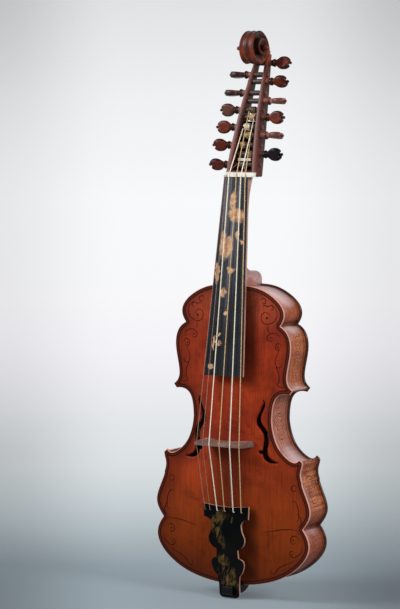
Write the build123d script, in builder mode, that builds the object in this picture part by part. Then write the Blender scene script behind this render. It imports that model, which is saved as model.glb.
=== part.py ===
from build123d import *
import math
import os

os.makedirs("parts", exist_ok=True)

# Body: +Z runs from the tail to the head, the belly faces -Y, the flat back lies on y = 0
body_length = 370.0
rib_height = 40.0
back_thickness = 3.4
belly_thickness = 3.6
overhang = 2.6
rib_thickness = 1.6
arch_height = 10.0
lining_width = 2.4
lining_depth = 8.0
top_block_half_width, top_block_depth = 27.0, 22.0
tail_block_half_width, tail_block_depth = 24.0, 20.0
corner_block_radius, cusp_block_radius = 21.0, 12.0
bar_x, bar_width, bar_depth = -17.0, 5.0, 5.0
bar_low_z, bar_high_z = 52.0, 322.0
arch_heights = [10, 38, 88, 138, 177, 212, 258, 300]
arch_top_drops = [32, 12]
arch_widths = [24, 72, 90, 74, 47, 43, 58, 62, 50, 22]
arch_shares = [0.04, 0.34, 0.8, 0.98, 1.0, 1.0, 0.88, 0.5, 0.12, 0.03]
post_x, post_behind_bridge, post_radius = 19.0, 9.0, 3.0

# Outline of the right half, as half widths and heights above the tail edge
shoulder_width, shoulder_drop = 48.0, 7.3
upper_bout_width, upper_bout_drop = 72.3, 33.0
upper_cusp_width, upper_cusp_z = 66.8, 322.0
upper_lobe_width, upper_lobe_z = 81.3, 299.0
upper_neck_width, upper_neck_z = 76.3, 262.0
upper_corner_width, upper_corner_z = 84.2, 244.4
waist_width, waist_z = 55.3, 208.0
lower_corner_width, lower_corner_z = 98.8, 157.4
corner_cut = 6.6
run_steps = 14
lower_neck_width, lower_neck_z = 95.6, 142.0
lower_lobe_width, lower_lobe_z = 109.2, 98.0
lower_cusp_width, lower_cusp_z = 99.2, 76.4
tail_bout_width, tail_bout_z = 107.9, 58.0
tail_round_width, tail_round_z = 79.6, 19.0
tail_flat_width, tail_flat_z = 54.0, 7.6

# Soundholes, as places on the right half
hole_top = (42.8, 231.6)
hole_foot = (66.7, 155.3)
hole_nub = (43.0, 167.4)
hole_nub_radius = 2.2

# Bridge and strings
bridge_z = 177.0
bridge_height = 26.4
bridge_half_width = 33.7
bridge_foot_thickness = 8.0
bridge_top_thickness = 3.6
bridge_top_drop = 2.0
wire_rise = 19.0
wire_hole_radius = 0.8
wire_hole_pitch = 4.4
string_span = 60.0
gut_diameter = 1.0
thin_diameter = 0.6
wire_diameter = 0.5

# Neck, fingerboard and nut: lengths from the body's top edge, heights from the belly's rim
neck_stop = 131.5
nut_length = 5.5
nut_overstand = 1.2
board_overlap = 110.0
board_nut_drop = 14.5
string_clearance = 3.2
board_end_width = 54.0
board_nut_width = 33.0
board_end_shift = -0.7
board_nut_shift = -3.7
board_core_thickness = 3.2
board_veneer_thickness = 1.2
neck_nut_thickness = 16.0
neck_root_thickness = 18.0
neck_flat_side = 3.0
neck_sunk = 6.0
heel_half_width = 17.0
heel_round = 10.0
heel_rise = 15.5
cove_length = 16.0

# Head: heights above the nut's lower edge, depths behind the fingerboard's face at the nut
head_set_back = 4.4
head_slope = 0.18
head_curve = 0.0012
head_top_rise = 150.5
cheek_nut_depth = 16.5
cheek_top_depth = 7.5
cheek_belly = 8.0
cheek_nut_half_width = 21.7
cheek_top_half_width = 9.3
cheek_nut_thickness = 6.5
cheek_top_thickness = 3.8
cavity_bottom_rise = 7.5
cavity_open_rise = 67.5
cavity_top_rise = 145.5
pegbox_floor = 3.0
slot_half_width = 7.5
slot_depth = 1.0
slot_head_room = 1.6
slot_mouth_depth = 1.8
wire_mouth_depth = 1.0
wire_rest_set_back = 13.55
rest_rise = 21.0
rest_half_length = 1.65
rest_half_width = 9.0
scroll_set_back, scroll_rise = 40.5, 157.5
scroll_radius = 22.0
scroll_half_width = 9.0
eye_half_width = 24.0
eye_radius = 4.6

# Pegs from the nut upward: side (-1 bass, 1 treble), height above the nut, turn in degrees
peg_places = [
    ("peg_bass_1", -1, 14.5, 40),
    ("peg_treble_1", 1, 27.5, 20),
    ("peg_bass_2", -1, 38.5, 30),
    ("peg_treble_2", 1, 50.5, 80),
    ("peg_bass_3", -1, 60.5, 0),
    ("peg_treble_3", 1, 72.5, 0),
    ("peg_bass_4", -1, 81.5, 10),
    ("peg_treble_4", 1, 92.5, 88),
    ("peg_bass_5", -1, 102.5, 86),
    ("peg_treble_5", 1, 116.5, 35),
    ("peg_bass_6", -1, 125.0, 84),
    ("peg_treble_6", 1, 139.5, -20),
]
peg_depth_nut = 10.0
peg_depth_top = 4.9
peg_radius_head = 3.7
peg_radius_tail = 3.1
peg_clearance = 0.05
peg_tail_out = 1.6
peg_neck_length = 8.5
peg_head_length = 22.5
peg_head_width = 16.4
peg_head_thickness = 7.0
peg_collar_radius = 4.9
peg_pip_radius = 1.5

# Outline of the tailpiece's right half, as half widths and heights above the tail edge
tail_corner, tail_top_dip = (31.5, 100.6), 98.2
tail_shelf, tail_shelf_bend, tail_neck = (30.8, 84.5), (23.5, 82.0), (20.5, 77.0)
tail_bulge = (25.0, 58.5)
tail_waist_high, tail_waist_low = (14.4, 45.6), (15.0, 34.5)
tail_low_bulge, tail_low_bend = (22.6, 26.5), (17.4, 14.0)
tail_end_half_width, tail_end_round = 13.8, 5.0

# Tailpiece and tail: the face's curve as heights over the belly's rim at heights over the tail
tailpiece_foot_z = -15.6
tail_rises = [(15.0, 100.0), (13.6, 60.0), (10.6, 28.0), (7.2, 2.0), (5.4, tailpiece_foot_z)]
tailpiece_core = 3.0
tailpiece_veneer = 1.2
hook_half_width = 7.4
hook_top_z, hook_foot_z = -1.0, -11.6
hook_front_rise = 11.6
hook_back_y = -12.0
hook_edge_cut = 1.5
hook_clearance = 0.3
saddle_half_width = 17.0
saddle_height = 5.0
saddle_rise = 0.9
wire_tail_x = 5.5
hitch_pin_z = 9.0
hitch_pin_radius = 0.9

# Strings: peg, diameter, half width at tailpiece, bridge, nut and peg, sense and turns of winding
string_plan = [
    ("peg_bass_1", thin_diameter, -28.0, -29.8, -19.0, -8.0, 1, 6),
    ("peg_bass_2", thin_diameter, -21.0, -20.6, -16.2, -9.0, 1, 6),
    ("peg_bass_3", gut_diameter, -10.8, -11.0, -12.8, -6.7, 1, 5),
    ("peg_bass_4", gut_diameter, -0.4, 3.4, -2.2, -2.5, 1, 5),
    ("peg_treble_3", gut_diameter, 12.0, 17.9, 4.2, 6.6, -1, 5),
    ("peg_treble_2", gut_diameter, 23.2, 30.4, 10.4, 5.0, -1, 5),
]
wire_peg, wire_turns = "peg_treble_1", 6
wire_mouth_x, wire_rest_x, wire_winding_x = 3.6, 1.6, 2.0
string_hole_z, string_hole_radius, string_hole_depth = 92.5, 1.0, 2.6
string_lift = 2.4
tail_bend_radius, bridge_bend_radius, nut_bend_radius = 2.2, 7.0, 7.0
wire_bend_radius, wire_rest_bend_radius = 30.0, 3.0
groove_clearance = 0.05
winding_space = 0.5
winding_seat = 0.08
winding_gap = 0.5

back_y = -back_thickness
belly_y = back_y - rib_height
front_y = belly_y - belly_thickness
bridge_rise = arch_height + bridge_height
nut_z = body_length + neck_stop
board_end_z = body_length - board_overlap
board_nut_y = front_y + board_nut_drop
nut_top_y = board_nut_y - nut_overstand
bridge_top_y = front_y - bridge_rise
string_slope = (nut_top_y - bridge_top_y) / (nut_z - bridge_z)
board_end_y = bridge_top_y + string_slope * (board_end_z - bridge_z) + string_clearance
board_length = nut_z - board_end_z
board_slope = (board_nut_y - board_end_y) / board_length
board_thickness = board_core_thickness + board_veneer_thickness
wire_mouth_y = front_y + wire_mouth_depth
slot_mouth_z = body_length - (wire_mouth_depth + slot_head_room) * (body_length - bridge_z) / (
    wire_mouth_depth + wire_rise
)
head_nut_y = board_nut_y + head_set_back
head_top_z = nut_z + head_top_rise
cavity_bottom_z = nut_z + cavity_bottom_rise
cavity_open_z = nut_z + cavity_open_rise
cavity_top_z = nut_z + cavity_top_rise
wire_rest_y, rest_z = board_nut_y + wire_rest_set_back, nut_z + rest_rise
scroll_y, scroll_z = board_nut_y + scroll_set_back, nut_z + scroll_rise
peg_plan = [(name, side, nut_z + rise, turn) for name, side, rise, turn in peg_places]
tail_curve = [(front_y - rise, z) for rise, z in tail_rises]
tail_base_y = front_y + 17.0
hook_front_y = front_y - hook_front_rise
hook_middle_y = (belly_y + hook_back_y) / 2 + 3.7
string_diameters = [plan[1] for plan in string_plan]
upper_inner = (upper_corner_width - 0.62 * corner_cut, upper_corner_z - 0.79 * corner_cut)
lower_inner = (lower_corner_width - 0.75 * corner_cut, lower_corner_z + 0.66 * corner_cut)


def board_top_y(z):
    """Height of the fingerboard's playing face at height z: a straight line from its end to the nut."""
    return board_end_y + board_slope * (z - board_end_z)


def board_centre_x(z):
    """Centre line of neck and board, which leans a little to the bass side."""
    share = (z - board_end_z) / board_length
    return board_end_shift + (board_nut_shift - board_end_shift) * share


def board_half_width(z):
    """Half width of the board, which tapers evenly towards the nut."""
    share = (z - board_end_z) / board_length
    return (board_end_width + (board_nut_width - board_end_width) * share) / 2


def head_front_y(z):
    """Front edge of the cheeks: a parabola that sweeps back from the nut."""
    rise = z - nut_z
    return head_nut_y + head_slope * rise + head_curve * rise**2


def head_back_y(z):
    """Back edge of the cheeks: deepest in the middle, drawn in towards the scroll."""
    share = (z - nut_z) / (head_top_z - nut_z)
    depth = cheek_nut_depth + (cheek_top_depth - cheek_nut_depth) * share
    return head_front_y(z) + depth + 4.0 * cheek_belly * share * (1.0 - share)


def cheek_half_width(z):
    """Outer half width of the pegbox, tapering evenly from the nut to the scroll."""
    share = (z - nut_z) / (cavity_top_z - nut_z)
    return cheek_nut_half_width + (cheek_top_half_width - cheek_nut_half_width) * share


def cheek_thickness(z):
    """Thickness of a cheek, tapering evenly from the nut to the scroll."""
    share = (z - nut_z) / (cavity_top_z - nut_z)
    return cheek_nut_thickness + (cheek_top_thickness - cheek_nut_thickness) * share


def peg_y(z):
    """Depth of a peg's axis, a falling distance behind the cheeks' front edge."""
    share = (z - peg_plan[0][2]) / (peg_plan[-1][2] - peg_plan[0][2])
    return head_front_y(z) + peg_depth_nut + (peg_depth_top - peg_depth_nut) * share


def bridge_string_y(x):
    """Height of the bridge's curved top edge at half width x."""
    return front_y - bridge_rise + bridge_top_drop * (x / (string_span / 2 + 2.2)) ** 2


def tail_surface_y(z):
    """Height of the tailpiece's face, read between the two nearest stations of its curve."""
    for (high_y, high_z), (low_y, low_z) in zip(tail_curve, tail_curve[1:]):
        if z >= low_z:
            return low_y + (high_y - low_y) * (z - low_z) / (high_z - low_z)
    return tail_curve[-1][0]


def shaft_radius(side, z, x):
    """Radius of a peg's shaft where it crosses the half width x."""
    out = cheek_half_width(z)
    share = (side * x + out + peg_tail_out) / (2 * out + peg_tail_out + peg_neck_length)
    return peg_radius_tail + (peg_radius_head - peg_radius_tail) * share


def leaving_point(start, centre, radius):
    """Where a straight line from start touches the front of a circle about centre, both in (y, z)."""
    dy, dz = start[0] - centre[0], start[1] - centre[1]
    angle = math.atan2(dz, dy) - math.acos(radius / math.hypot(dy, dz))
    return angle, (centre[0] + radius * math.cos(angle), centre[1] + radius * math.sin(angle))


def tube(path, diameter):
    """Sweeps a round section of the given diameter along a path."""
    with BuildPart() as swept:
        with BuildSketch(Plane(path @ 0, z_dir=path % 0)):
            Circle(diameter / 2)
        sweep(path=path)
    return swept.part


def outline_runs():
    """The five curves of the right half's outline, in order from the top to the tail."""
    with BuildLine():
        runs = [
            Spline(
                (0, body_length),
                (shoulder_width, body_length - shoulder_drop),
                (upper_bout_width, body_length - upper_bout_drop),
                (upper_cusp_width, upper_cusp_z),
                tangents=[(1, 0), (-0.75, -1)],
            ),
            Spline(
                (upper_cusp_width, upper_cusp_z),
                (upper_lobe_width, upper_lobe_z),
                (upper_neck_width, upper_neck_z),
                (upper_corner_width, upper_corner_z),
                tangents=[(1, -0.45), (1, -0.7)],
            ),
            Spline(
                upper_inner,
                (waist_width + 9.5, waist_z + 29.0),
                (waist_width, waist_z),
                (waist_width + 7.5, waist_z - 38.5),
                (lower_corner_width - 17.4, lower_corner_z - 0.9),
                lower_inner,
                tangents=[(-1, 0.25), (0.6, 1)],
            ),
            Spline(
                (lower_corner_width, lower_corner_z),
                (lower_neck_width, lower_neck_z),
                (lower_lobe_width, lower_lobe_z),
                (lower_cusp_width, lower_cusp_z),
                tangents=[(-0.5, -1), (-0.8, -1)],
            ),
            Spline(
                (lower_cusp_width, lower_cusp_z),
                (tail_bout_width, tail_bout_z),
                (tail_round_width, tail_round_z),
                (tail_flat_width, tail_flat_z),
                (0, 0),
                tangents=[(0.85, -1), (-1, 0)],
                tangent_scalars=[1, 1],
            ),
        ]
    return runs


def inset_points(run, inset):
    """Points along a run, each moved in square to the curve, with a straight lead at both ends."""
    shares = [step / run_steps for step in range(run_steps + 1)]
    ways = [run.tangent_at(share) for share in shares]
    points = [run.position_at(share) for share in shares]
    moved = [point + Vector(way.Y, -way.X) * inset for point, way in zip(points, ways)]
    return [moved[0] - ways[0] * corner_cut] + moved + [moved[-1] + ways[-1] * corner_cut]


def trim_at_crossing(first, second):
    """Cuts two runs of points off where they cross, so that both end in the crossing."""
    for i, (a, b) in enumerate(zip(first, first[1:])):
        for j, (c, d) in enumerate(zip(second, second[1:])):
            across = (b - a).cross(d - c).Z
            along, beside = (c - a).cross(d - c).Z / across, (c - a).cross(b - a).Z / across
            if 0 <= along <= 1 and 0 <= beside <= 1:
                meeting = a + (b - a) * along
                before = [point for point in first[:i + 1] if (point - meeting).length > 1.0]
                after = [point for point in second[j + 1:] if (point - meeting).length > 1.0]
                return before + [meeting], [meeting] + after
    return first, second


def join_at_corner(first, tip, second):
    """Trims two runs against the blunt tip between them, or against each other if it has gone."""
    before, from_first = trim_at_crossing(first, tip)
    to_second, after = trim_at_crossing(tip, second)
    blunt = [from_first[0], to_second[-1]]
    if (blunt[1] - blunt[0]).dot(tip[-1] - tip[0]) > 1.0:
        return before, blunt, after
    before, after = trim_at_crossing(first, second)
    return before, [], after


def outline(inset=0.0):
    """The body's outline as a flat face, drawn in all round by inset."""
    runs = outline_runs()
    with BuildSketch() as shape:
        with BuildLine():
            if inset:
                top, lobe, waist, low, tail = [inset_points(run, inset) for run in runs]
                upper_tip = inset_points(Line(runs[1] @ 1, runs[2] @ 0, mode=Mode.PRIVATE), inset)
                lower_tip = inset_points(Line(runs[2] @ 1, runs[3] @ 0, mode=Mode.PRIVATE), inset)
                lobe, upper_tip, waist = join_at_corner(lobe, upper_tip, waist)
                waist, lower_tip, low = join_at_corner(waist, lower_tip, low)
                for points in (top[1:-1], lobe[1:], waist, low[:-1], tail[1:-1]):
                    Spline(*points)
                for tip in (upper_tip, lower_tip):
                    if tip:
                        Line(tip[0], tip[-1])
                for first, second, tip in ((top, lobe, runs[0] @ 1), (low, tail, runs[3] @ 1)):
                    middle = (first[-2] + second[1]) / 2 - tip
                    ThreePointArc(first[-2], tip + middle.normalized() * inset, second[1])
            else:
                for run in runs:
                    add(run)
                Line(runs[1] @ 1, runs[2] @ 0)
                Line(runs[2] @ 1, runs[3] @ 0)
            mirror(about=Plane.YZ)
        make_face()
    return shape.sketch


def rib_band(outer, width):
    """A closed band that follows the outline, from the inset outer to outer + width."""
    with BuildSketch() as band:
        add(outline(outer))
        add(outline(outer + width), mode=Mode.SUBTRACT)
    return band.sketch


def facing(y):
    """Plane parallel to the belly at depth y, looking out of the belly."""
    return Plane.XZ.offset(-y)


def arch_stations(inset):
    """Height above the tail, half width and rise of the belly's arch, drawn in by inset."""
    heights = arch_heights + [body_length - drop for drop in arch_top_drops]
    for z, width, share in zip(heights, arch_widths, arch_shares):
        yield z, width - inset, arch_height * share


def arch(inset, edge_y, base_y):
    """A lofted solid of the arch with its springing at edge_y and its flat base at base_y."""
    with BuildPart() as dome:
        for z, width, rise in arch_stations(inset):
            with BuildSketch(Plane.XY.offset(z)):
                with BuildLine():
                    Polyline((-width, edge_y), (-width, base_y), (width, base_y), (width, edge_y))
                    ThreePointArc((width, edge_y), (0, edge_y - rise), (-width, edge_y))
                make_face()
        loft()
    return dome.part


def plate(y, thickness, inset=0.0):
    """A flat slab with the body's outline, from depth y outwards."""
    with BuildPart() as slab:
        with BuildSketch(facing(y)):
            add(outline(inset))
        extrude(amount=thickness)
    return slab.part


def save(piece, name):
    """Labels a finished piece and writes it to its own file."""
    piece.label = name
    export_step(piece, "parts/" + name + ".step")


def bore(x, z, radius, y_low, y_high):
    """A round rod along Y, used for pins and for the holes that take them."""
    with BuildPart() as rod:
        with BuildSketch(facing(y_high)):
            with Locations((x, z)):
                Circle(radius)
        extrude(amount=y_high - y_low)
    return rod.part


arch_outside = arch(0.0, front_y, front_y + 1.2)
arch_inside = arch(belly_thickness, belly_y, belly_y + 0.6)
arch_room = arch(belly_thickness, belly_y, back_y)
rib_inset = overhang + rib_thickness

# Routes of the strings: straight runs and bends, each ending just short of its peg's winding
peg_place = {name: (side, z) for name, side, z, turn in peg_plan}


def winding_fit(peg, x, drift, turns, diameter, last_bend):
    """Centre, coil radius and touching angle of a winding, and where the string ahead of it stops."""
    side, z = peg_place[peg]
    centre = (peg_y(z), z)
    far_x = x + drift * turns * (diameter + winding_space)
    radius = max(shaft_radius(side, z, x), shaft_radius(side, z, far_x)) + diameter / 2 + winding_seat
    angle, touch = leaving_point((last_bend.Y, last_bend.Z), centre, radius)
    touch_point = Vector(x, touch[0], touch[1])
    clear = math.sqrt((radius + diameter / 2 + winding_gap) ** 2 - (radius - diameter / 2) ** 2)
    stop = touch_point - (touch_point - last_bend).normalized() * clear
    return (x, drift, turns, radius, centre, angle, diameter), stop


routes, winding_plan = [], []
for peg, diameter, tail_x, bridge_x, nut_x, winding_x, drift, turns in string_plan:
    half = diameter / 2
    hole = Vector(tail_x, tail_surface_y(string_hole_z) + string_hole_depth, string_hole_z)
    lip = Vector(tail_x, tail_surface_y(string_hole_z) - string_lift, string_hole_z + 0.6)
    over_bridge = Vector(bridge_x, bridge_string_y(bridge_x) - half, bridge_z)
    over_nut = Vector(nut_x, nut_top_y - half, nut_z + nut_length / 3)
    fit, stop = winding_fit(peg, winding_x, drift, turns, diameter, over_nut)
    with BuildLine() as route:
        FilletPolyline(
            hole, lip, over_bridge, over_nut, stop,
            radius=[tail_bend_radius, bridge_bend_radius, nut_bend_radius],
        )
    routes.append(route.wire())
    winding_plan.append(fit)
wire_pin = Vector(
    wire_tail_x, front_y - 1.2, hitch_pin_z + hitch_pin_radius + wire_diameter / 2 + 0.05
)
wire_hole = Vector(1.5 * wire_hole_pitch, front_y - wire_rise, bridge_z)
wire_mouth = Vector(wire_mouth_x, wire_mouth_y, body_length)
wire_rest = Vector(wire_rest_x, wire_rest_y, rest_z)
fit, stop = winding_fit(wire_peg, wire_winding_x, 1, wire_turns, wire_diameter, wire_rest)
winding_plan.append(fit)
with BuildLine() as wire_line:
    FilletPolyline(
        wire_pin, wire_hole, wire_mouth, wire_rest, stop,
        radius=[wire_bend_radius, wire_bend_radius, wire_rest_bend_radius],
    )
wire_route = wire_line.wire()

# Back: one flat board of maple, its face the part's reference plane
save(plate(0.0, back_thickness), "back")

# Saddle: hard bar let into the belly's edge at the tail
saddle_room = Pos(0, (belly_y + front_y) / 2, saddle_height / 2) * Box(
    2 * saddle_half_width, belly_thickness + 2 * saddle_rise, saddle_height
)
with BuildPart() as saddle:
    with BuildSketch(facing(belly_y)):
        add(outline())
    extrude(amount=belly_thickness + saddle_rise)
    add(saddle_room, mode=Mode.INTERSECT)
save(saddle.part, "saddle")

# Hitch pin of the sympathetic string, driven through the belly into the tail block
hitch_pin = bore(wire_tail_x, hitch_pin_z, hitch_pin_radius, front_y - 1.8, belly_y + 8.0)
save(hitch_pin, "hitch_pin")

# Belly: arched plate with a flat rim, two serpentine soundholes and a slot under the board
with BuildPart() as belly:
    add(plate(belly_y, belly_thickness))
    add(arch_outside)
    add(arch_inside, mode=Mode.SUBTRACT)
    for side in (1, -1):
        with BuildSketch(facing(belly_y + 4.0)):
            with BuildLine():
                Spline(
                    (side * hole_top[0], hole_top[1]),
                    (side * (hole_top[0] + 2.4), hole_top[1] - 3.4),
                    (side * (hole_top[0] - 5.7), hole_top[1] - 26.3),
                    (side * (hole_top[0] + 3.8), hole_top[1] - 48.3),
                    (side * (hole_nub[0] + 2.6), hole_nub[1]),
                    (side * (hole_foot[0] - 17.2), hole_foot[1] + 2.3),
                    (side * (hole_foot[0] - 7.1), hole_foot[1] - 0.9),
                    (side * hole_foot[0], hole_foot[1]),
                )
                Spline(
                    (side * hole_foot[0], hole_foot[1]),
                    (side * (hole_foot[0] - 10.5), hole_foot[1] + 4.1),
                    (side * (hole_foot[0] - 15.5), hole_foot[1] + 13.7),
                    (side * (hole_foot[0] - 13.7), hole_foot[1] + 27.7),
                    (side * (hole_top[0] - 0.7), hole_top[1] - 24.6),
                    (side * (hole_top[0] + 4.5), hole_top[1] - 5.6),
                    (side * hole_top[0], hole_top[1]),
                )
            make_face()
            with Locations((side * hole_nub[0], hole_nub[1])):
                Circle(hole_nub_radius)
        extrude(amount=belly_thickness + arch_height + 8.0, mode=Mode.SUBTRACT)
    add(saddle_room, mode=Mode.SUBTRACT)
    add(hitch_pin, mode=Mode.SUBTRACT)
    with Locations((board_centre_x(body_length), front_y, slot_mouth_z)):
        Box(
            2 * slot_half_width + 3.0, 2 * slot_mouth_depth, 34.0,
            align=(Align.CENTER, Align.CENTER, Align.MIN), mode=Mode.SUBTRACT,
        )
save(belly.part, "belly")

# Ribs: bent strips of flamed maple, one to each bout, meeting at the corners and cusps
upper_tip = ((upper_corner_width + upper_inner[0]) / 2, (upper_corner_z + upper_inner[1]) / 2)
lower_tip = ((lower_corner_width + lower_inner[0]) / 2, (lower_corner_z + lower_inner[1]) / 2)
reach = lower_lobe_width + 16.0


def upper_mitre(x):
    """Line on which the ribs meet at the upper corner."""
    return upper_tip[1] + 0.6 * (upper_tip[0] - x)


def lower_mitre(x):
    """Line on which the ribs meet at the lower corner."""
    return lower_tip[1] + 0.785 * (x - lower_tip[0])


rib_zones = {
    "upper_lobe": [
        (0, upper_cusp_z),
        (reach, upper_cusp_z),
        (reach, upper_mitre(reach)),
        (0, upper_mitre(0)),
    ],
    "waist": [
        (0, upper_mitre(0)),
        (reach, upper_mitre(reach)),
        (reach, lower_mitre(reach)),
        (0, lower_mitre(0)),
    ],
    "lower_lobe": [
        (0, lower_mitre(0)),
        (reach, lower_mitre(reach)),
        (reach, lower_cusp_z),
        (0, lower_cusp_z),
    ],
}
for side, side_name in ((-1, "bass"), (1, "treble")):
    for zone, corners in rib_zones.items():
        with BuildPart() as rib:
            with BuildSketch(facing(back_y)):
                add(rib_band(overhang, rib_thickness))
                Polygon(*[(side * x, z) for x, z in corners], align=None, mode=Mode.INTERSECT)
            extrude(amount=rib_height)
        save(rib.part, "rib_" + zone + "_" + side_name)
with BuildPart() as rib_ring:
    with BuildSketch(facing(back_y)):
        add(rib_band(overhang, rib_thickness))
    extrude(amount=rib_height)
with BuildPart() as rib_tail:
    add(rib_ring.part)
    split(bisect_by=Plane.XY.offset(lower_cusp_z), keep=Keep.BOTTOM)
save(rib_tail.part, "rib_tail")
for side_name, kept in (("bass", Keep.BOTTOM), ("treble", Keep.TOP)):
    with BuildPart() as rib_shoulder:
        add(rib_ring.part)
        split(bisect_by=Plane.XY.offset(upper_cusp_z), keep=Keep.TOP)
        split(bisect_by=Plane.YZ, keep=kept)
    save(rib_shoulder.part, "rib_shoulder_" + side_name)

# Blocks: spruce fillings at the neck, the tail, the four corners and the four cusps
block_top_z, block_tail_z = body_length - top_block_depth, tail_block_depth
corner_places = [(upper_tip, corner_block_radius), (lower_tip, corner_block_radius)]
cusp_places = [
    ((upper_cusp_width, upper_cusp_z), cusp_block_radius),
    ((lower_cusp_width, lower_cusp_z), cusp_block_radius),
]
with BuildSketch() as top_block_zone:
    with Locations((0, body_length)):
        Rectangle(2 * top_block_half_width, 2 * top_block_depth)
with BuildSketch() as tail_block_zone:
    Rectangle(2 * tail_block_half_width, 2 * tail_block_depth)


def round_zones(places):
    """Discs about the given places and their mirror images."""
    with BuildSketch() as discs:
        for (x, z), radius in places:
            with Locations((x, z), (-x, z)):
                Circle(radius)
    return discs.sketch


def block(zone):
    """A block that fills the body's inside within a zone, from back to belly."""
    with BuildPart() as filling:
        with BuildSketch(facing(back_y)):
            add(outline(rib_inset))
            add(zone, mode=Mode.INTERSECT)
        extrude(amount=rib_height)
    return filling.part


save(block(top_block_zone.sketch), "top_block")
with BuildPart() as tail_block:
    add(block(tail_block_zone.sketch))
    add(hitch_pin, mode=Mode.SUBTRACT)
save(tail_block.part, "tail_block")
save(block(round_zones(corner_places)), "corner_blocks")
save(block(round_zones(cusp_places)), "cusp_blocks")

# Linings: thin strips that widen the ribs' glued edges between the blocks
with BuildPart() as linings:
    for low_y in (back_y, belly_y + lining_depth):
        with BuildSketch(facing(low_y)):
            add(rib_band(rib_inset, lining_width))
            add(top_block_zone.sketch, mode=Mode.SUBTRACT)
            add(tail_block_zone.sketch, mode=Mode.SUBTRACT)
            add(round_zones(corner_places + cusp_places), mode=Mode.SUBTRACT)
        extrude(amount=lining_depth)
save(linings.part, "linings")

# Bass bar: spruce bar glued under the belly, its top cut to the arch
with BuildPart() as bass_bar:
    with BuildSketch(Plane.YZ.offset(bar_x - bar_width / 2)):
        with BuildLine():
            Polyline(
                (belly_y, bar_low_z),
                (belly_y - arch_height, bar_low_z),
                (belly_y - arch_height, bar_high_z),
                (belly_y, bar_high_z),
            )
            ThreePointArc(
                (belly_y, bar_high_z),
                (belly_y + bar_depth, (bar_low_z + bar_high_z) / 2),
                (belly_y, bar_low_z),
            )
        make_face()
    extrude(amount=bar_width)
    add(arch_room, mode=Mode.INTERSECT)
save(bass_bar.part, "bass_bar")

# Sound post: spruce dowel that stands between back and belly behind the bridge's treble foot
with BuildPart() as sound_post:
    add(bore(post_x, bridge_z - post_behind_bridge, post_radius, belly_y - arch_height, back_y))
    add(arch_room, mode=Mode.INTERSECT)
save(sound_post.part, "sound_post")

# Bridge: maple, cut out in openwork, its feet fitted to the arch
with BuildPart() as bridge:
    with BuildSketch(Plane.XY.offset(bridge_z - bridge_foot_thickness / 2)):
        with BuildLine():
            Line((0, front_y - 14.5), (-8, front_y - 14.5))
            ThreePointArc((-8, front_y - 14.5), (-16, front_y - 12.5), (-20, front_y - 3))
            Line((-20, front_y - 3), (-bridge_half_width, front_y - 3))
            Line((-bridge_half_width, front_y - 3), (-bridge_half_width, front_y - 9.5))
            Spline(
                (-bridge_half_width, front_y - 9.5),
                (-bridge_half_width + 5.0, front_y - 13.5),
                (-bridge_half_width, front_y - 19.5),
                (-string_span / 2 - 2.2, front_y - bridge_rise + bridge_top_drop),
            )
            ThreePointArc(
                (-string_span / 2 - 2.2, front_y - bridge_rise + bridge_top_drop),
                (-string_span / 4, front_y - bridge_rise + 0.25 * bridge_top_drop),
                (0, front_y - bridge_rise),
            )
            mirror(about=Plane.YZ)
        make_face()
        with Locations((0, front_y - 26.5)):
            Circle(3.2, mode=Mode.SUBTRACT)
        for side in (-1, 1):
            with Locations((side * 13.0, front_y - 26.5)):
                SlotOverall(15.0, 3.6, mode=Mode.SUBTRACT)
            with Locations((side * 24.5, front_y - 17.5)):
                Ellipse(3.4, 4.6, mode=Mode.SUBTRACT)
        for place in range(6):
            with Locations(((place - 2.5) * wire_hole_pitch, front_y - wire_rise)):
                Circle(wire_hole_radius, mode=Mode.SUBTRACT)
    extrude(amount=bridge_foot_thickness)
    with BuildSketch(Plane.YZ.offset(-bridge_half_width)):
        Polygon(
            (front_y, bridge_z - bridge_foot_thickness / 2),
            (front_y - bridge_rise, bridge_z - bridge_top_thickness / 2),
            (front_y - bridge_rise, bridge_z + bridge_top_thickness / 2),
            (front_y, bridge_z + bridge_foot_thickness / 2),
            align=None,
        )
    extrude(amount=2 * bridge_half_width, mode=Mode.INTERSECT)
    add(arch_outside, mode=Mode.SUBTRACT)
    for route, diameter in zip(routes, string_diameters):
        add(tube(route, diameter + 2 * groove_clearance), mode=Mode.SUBTRACT)
save(bridge.part, "bridge")


# Slot in neck and head that lets the sympathetic string pass under the board and the nut
wire_slope = (wire_rest_y - wire_mouth_y) / (rest_z - body_length)
slot_exit_z = cavity_bottom_z + 1.0
slot_centre_x = board_centre_x(nut_z) + 1.5
with BuildPart() as slot:
    with BuildSketch(Plane.YZ.offset(slot_centre_x - slot_half_width)):
        Polygon(
            (board_end_y, body_length - 2.0),
            (wire_mouth_y + slot_depth, body_length - 2.0),
            (wire_mouth_y + wire_slope * (slot_exit_z - body_length) + slot_depth, slot_exit_z),
            (board_end_y, slot_exit_z),
            align=None,
        )
    extrude(amount=2 * slot_half_width)

# Fingerboard: pale wooden core and a veneer of tortoiseshell, both straight in their length
def board_layer(depth, thickness):
    """One layer of the fingerboard, its face at the given depth under the playing face."""
    with BuildPart() as layer:
        for z in (board_end_z, nut_z):
            low = board_top_y(z) + depth
            half, centre = board_half_width(z), board_centre_x(z)
            with BuildSketch(Plane.XY.offset(z)):
                Polygon(
                    (centre - half, low),
                    (centre + half, low),
                    (centre + half, low + thickness),
                    (centre - half, low + thickness),
                    align=None,
                )
        loft(ruled=True)
    return layer.part


save(board_layer(0.0, board_veneer_thickness), "fingerboard_veneer")
save(board_layer(board_veneer_thickness, board_core_thickness), "fingerboard")

# Neck: maple, round at the back, with its heel against the top ribs
heel_top_z = body_length + heel_rise


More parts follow.
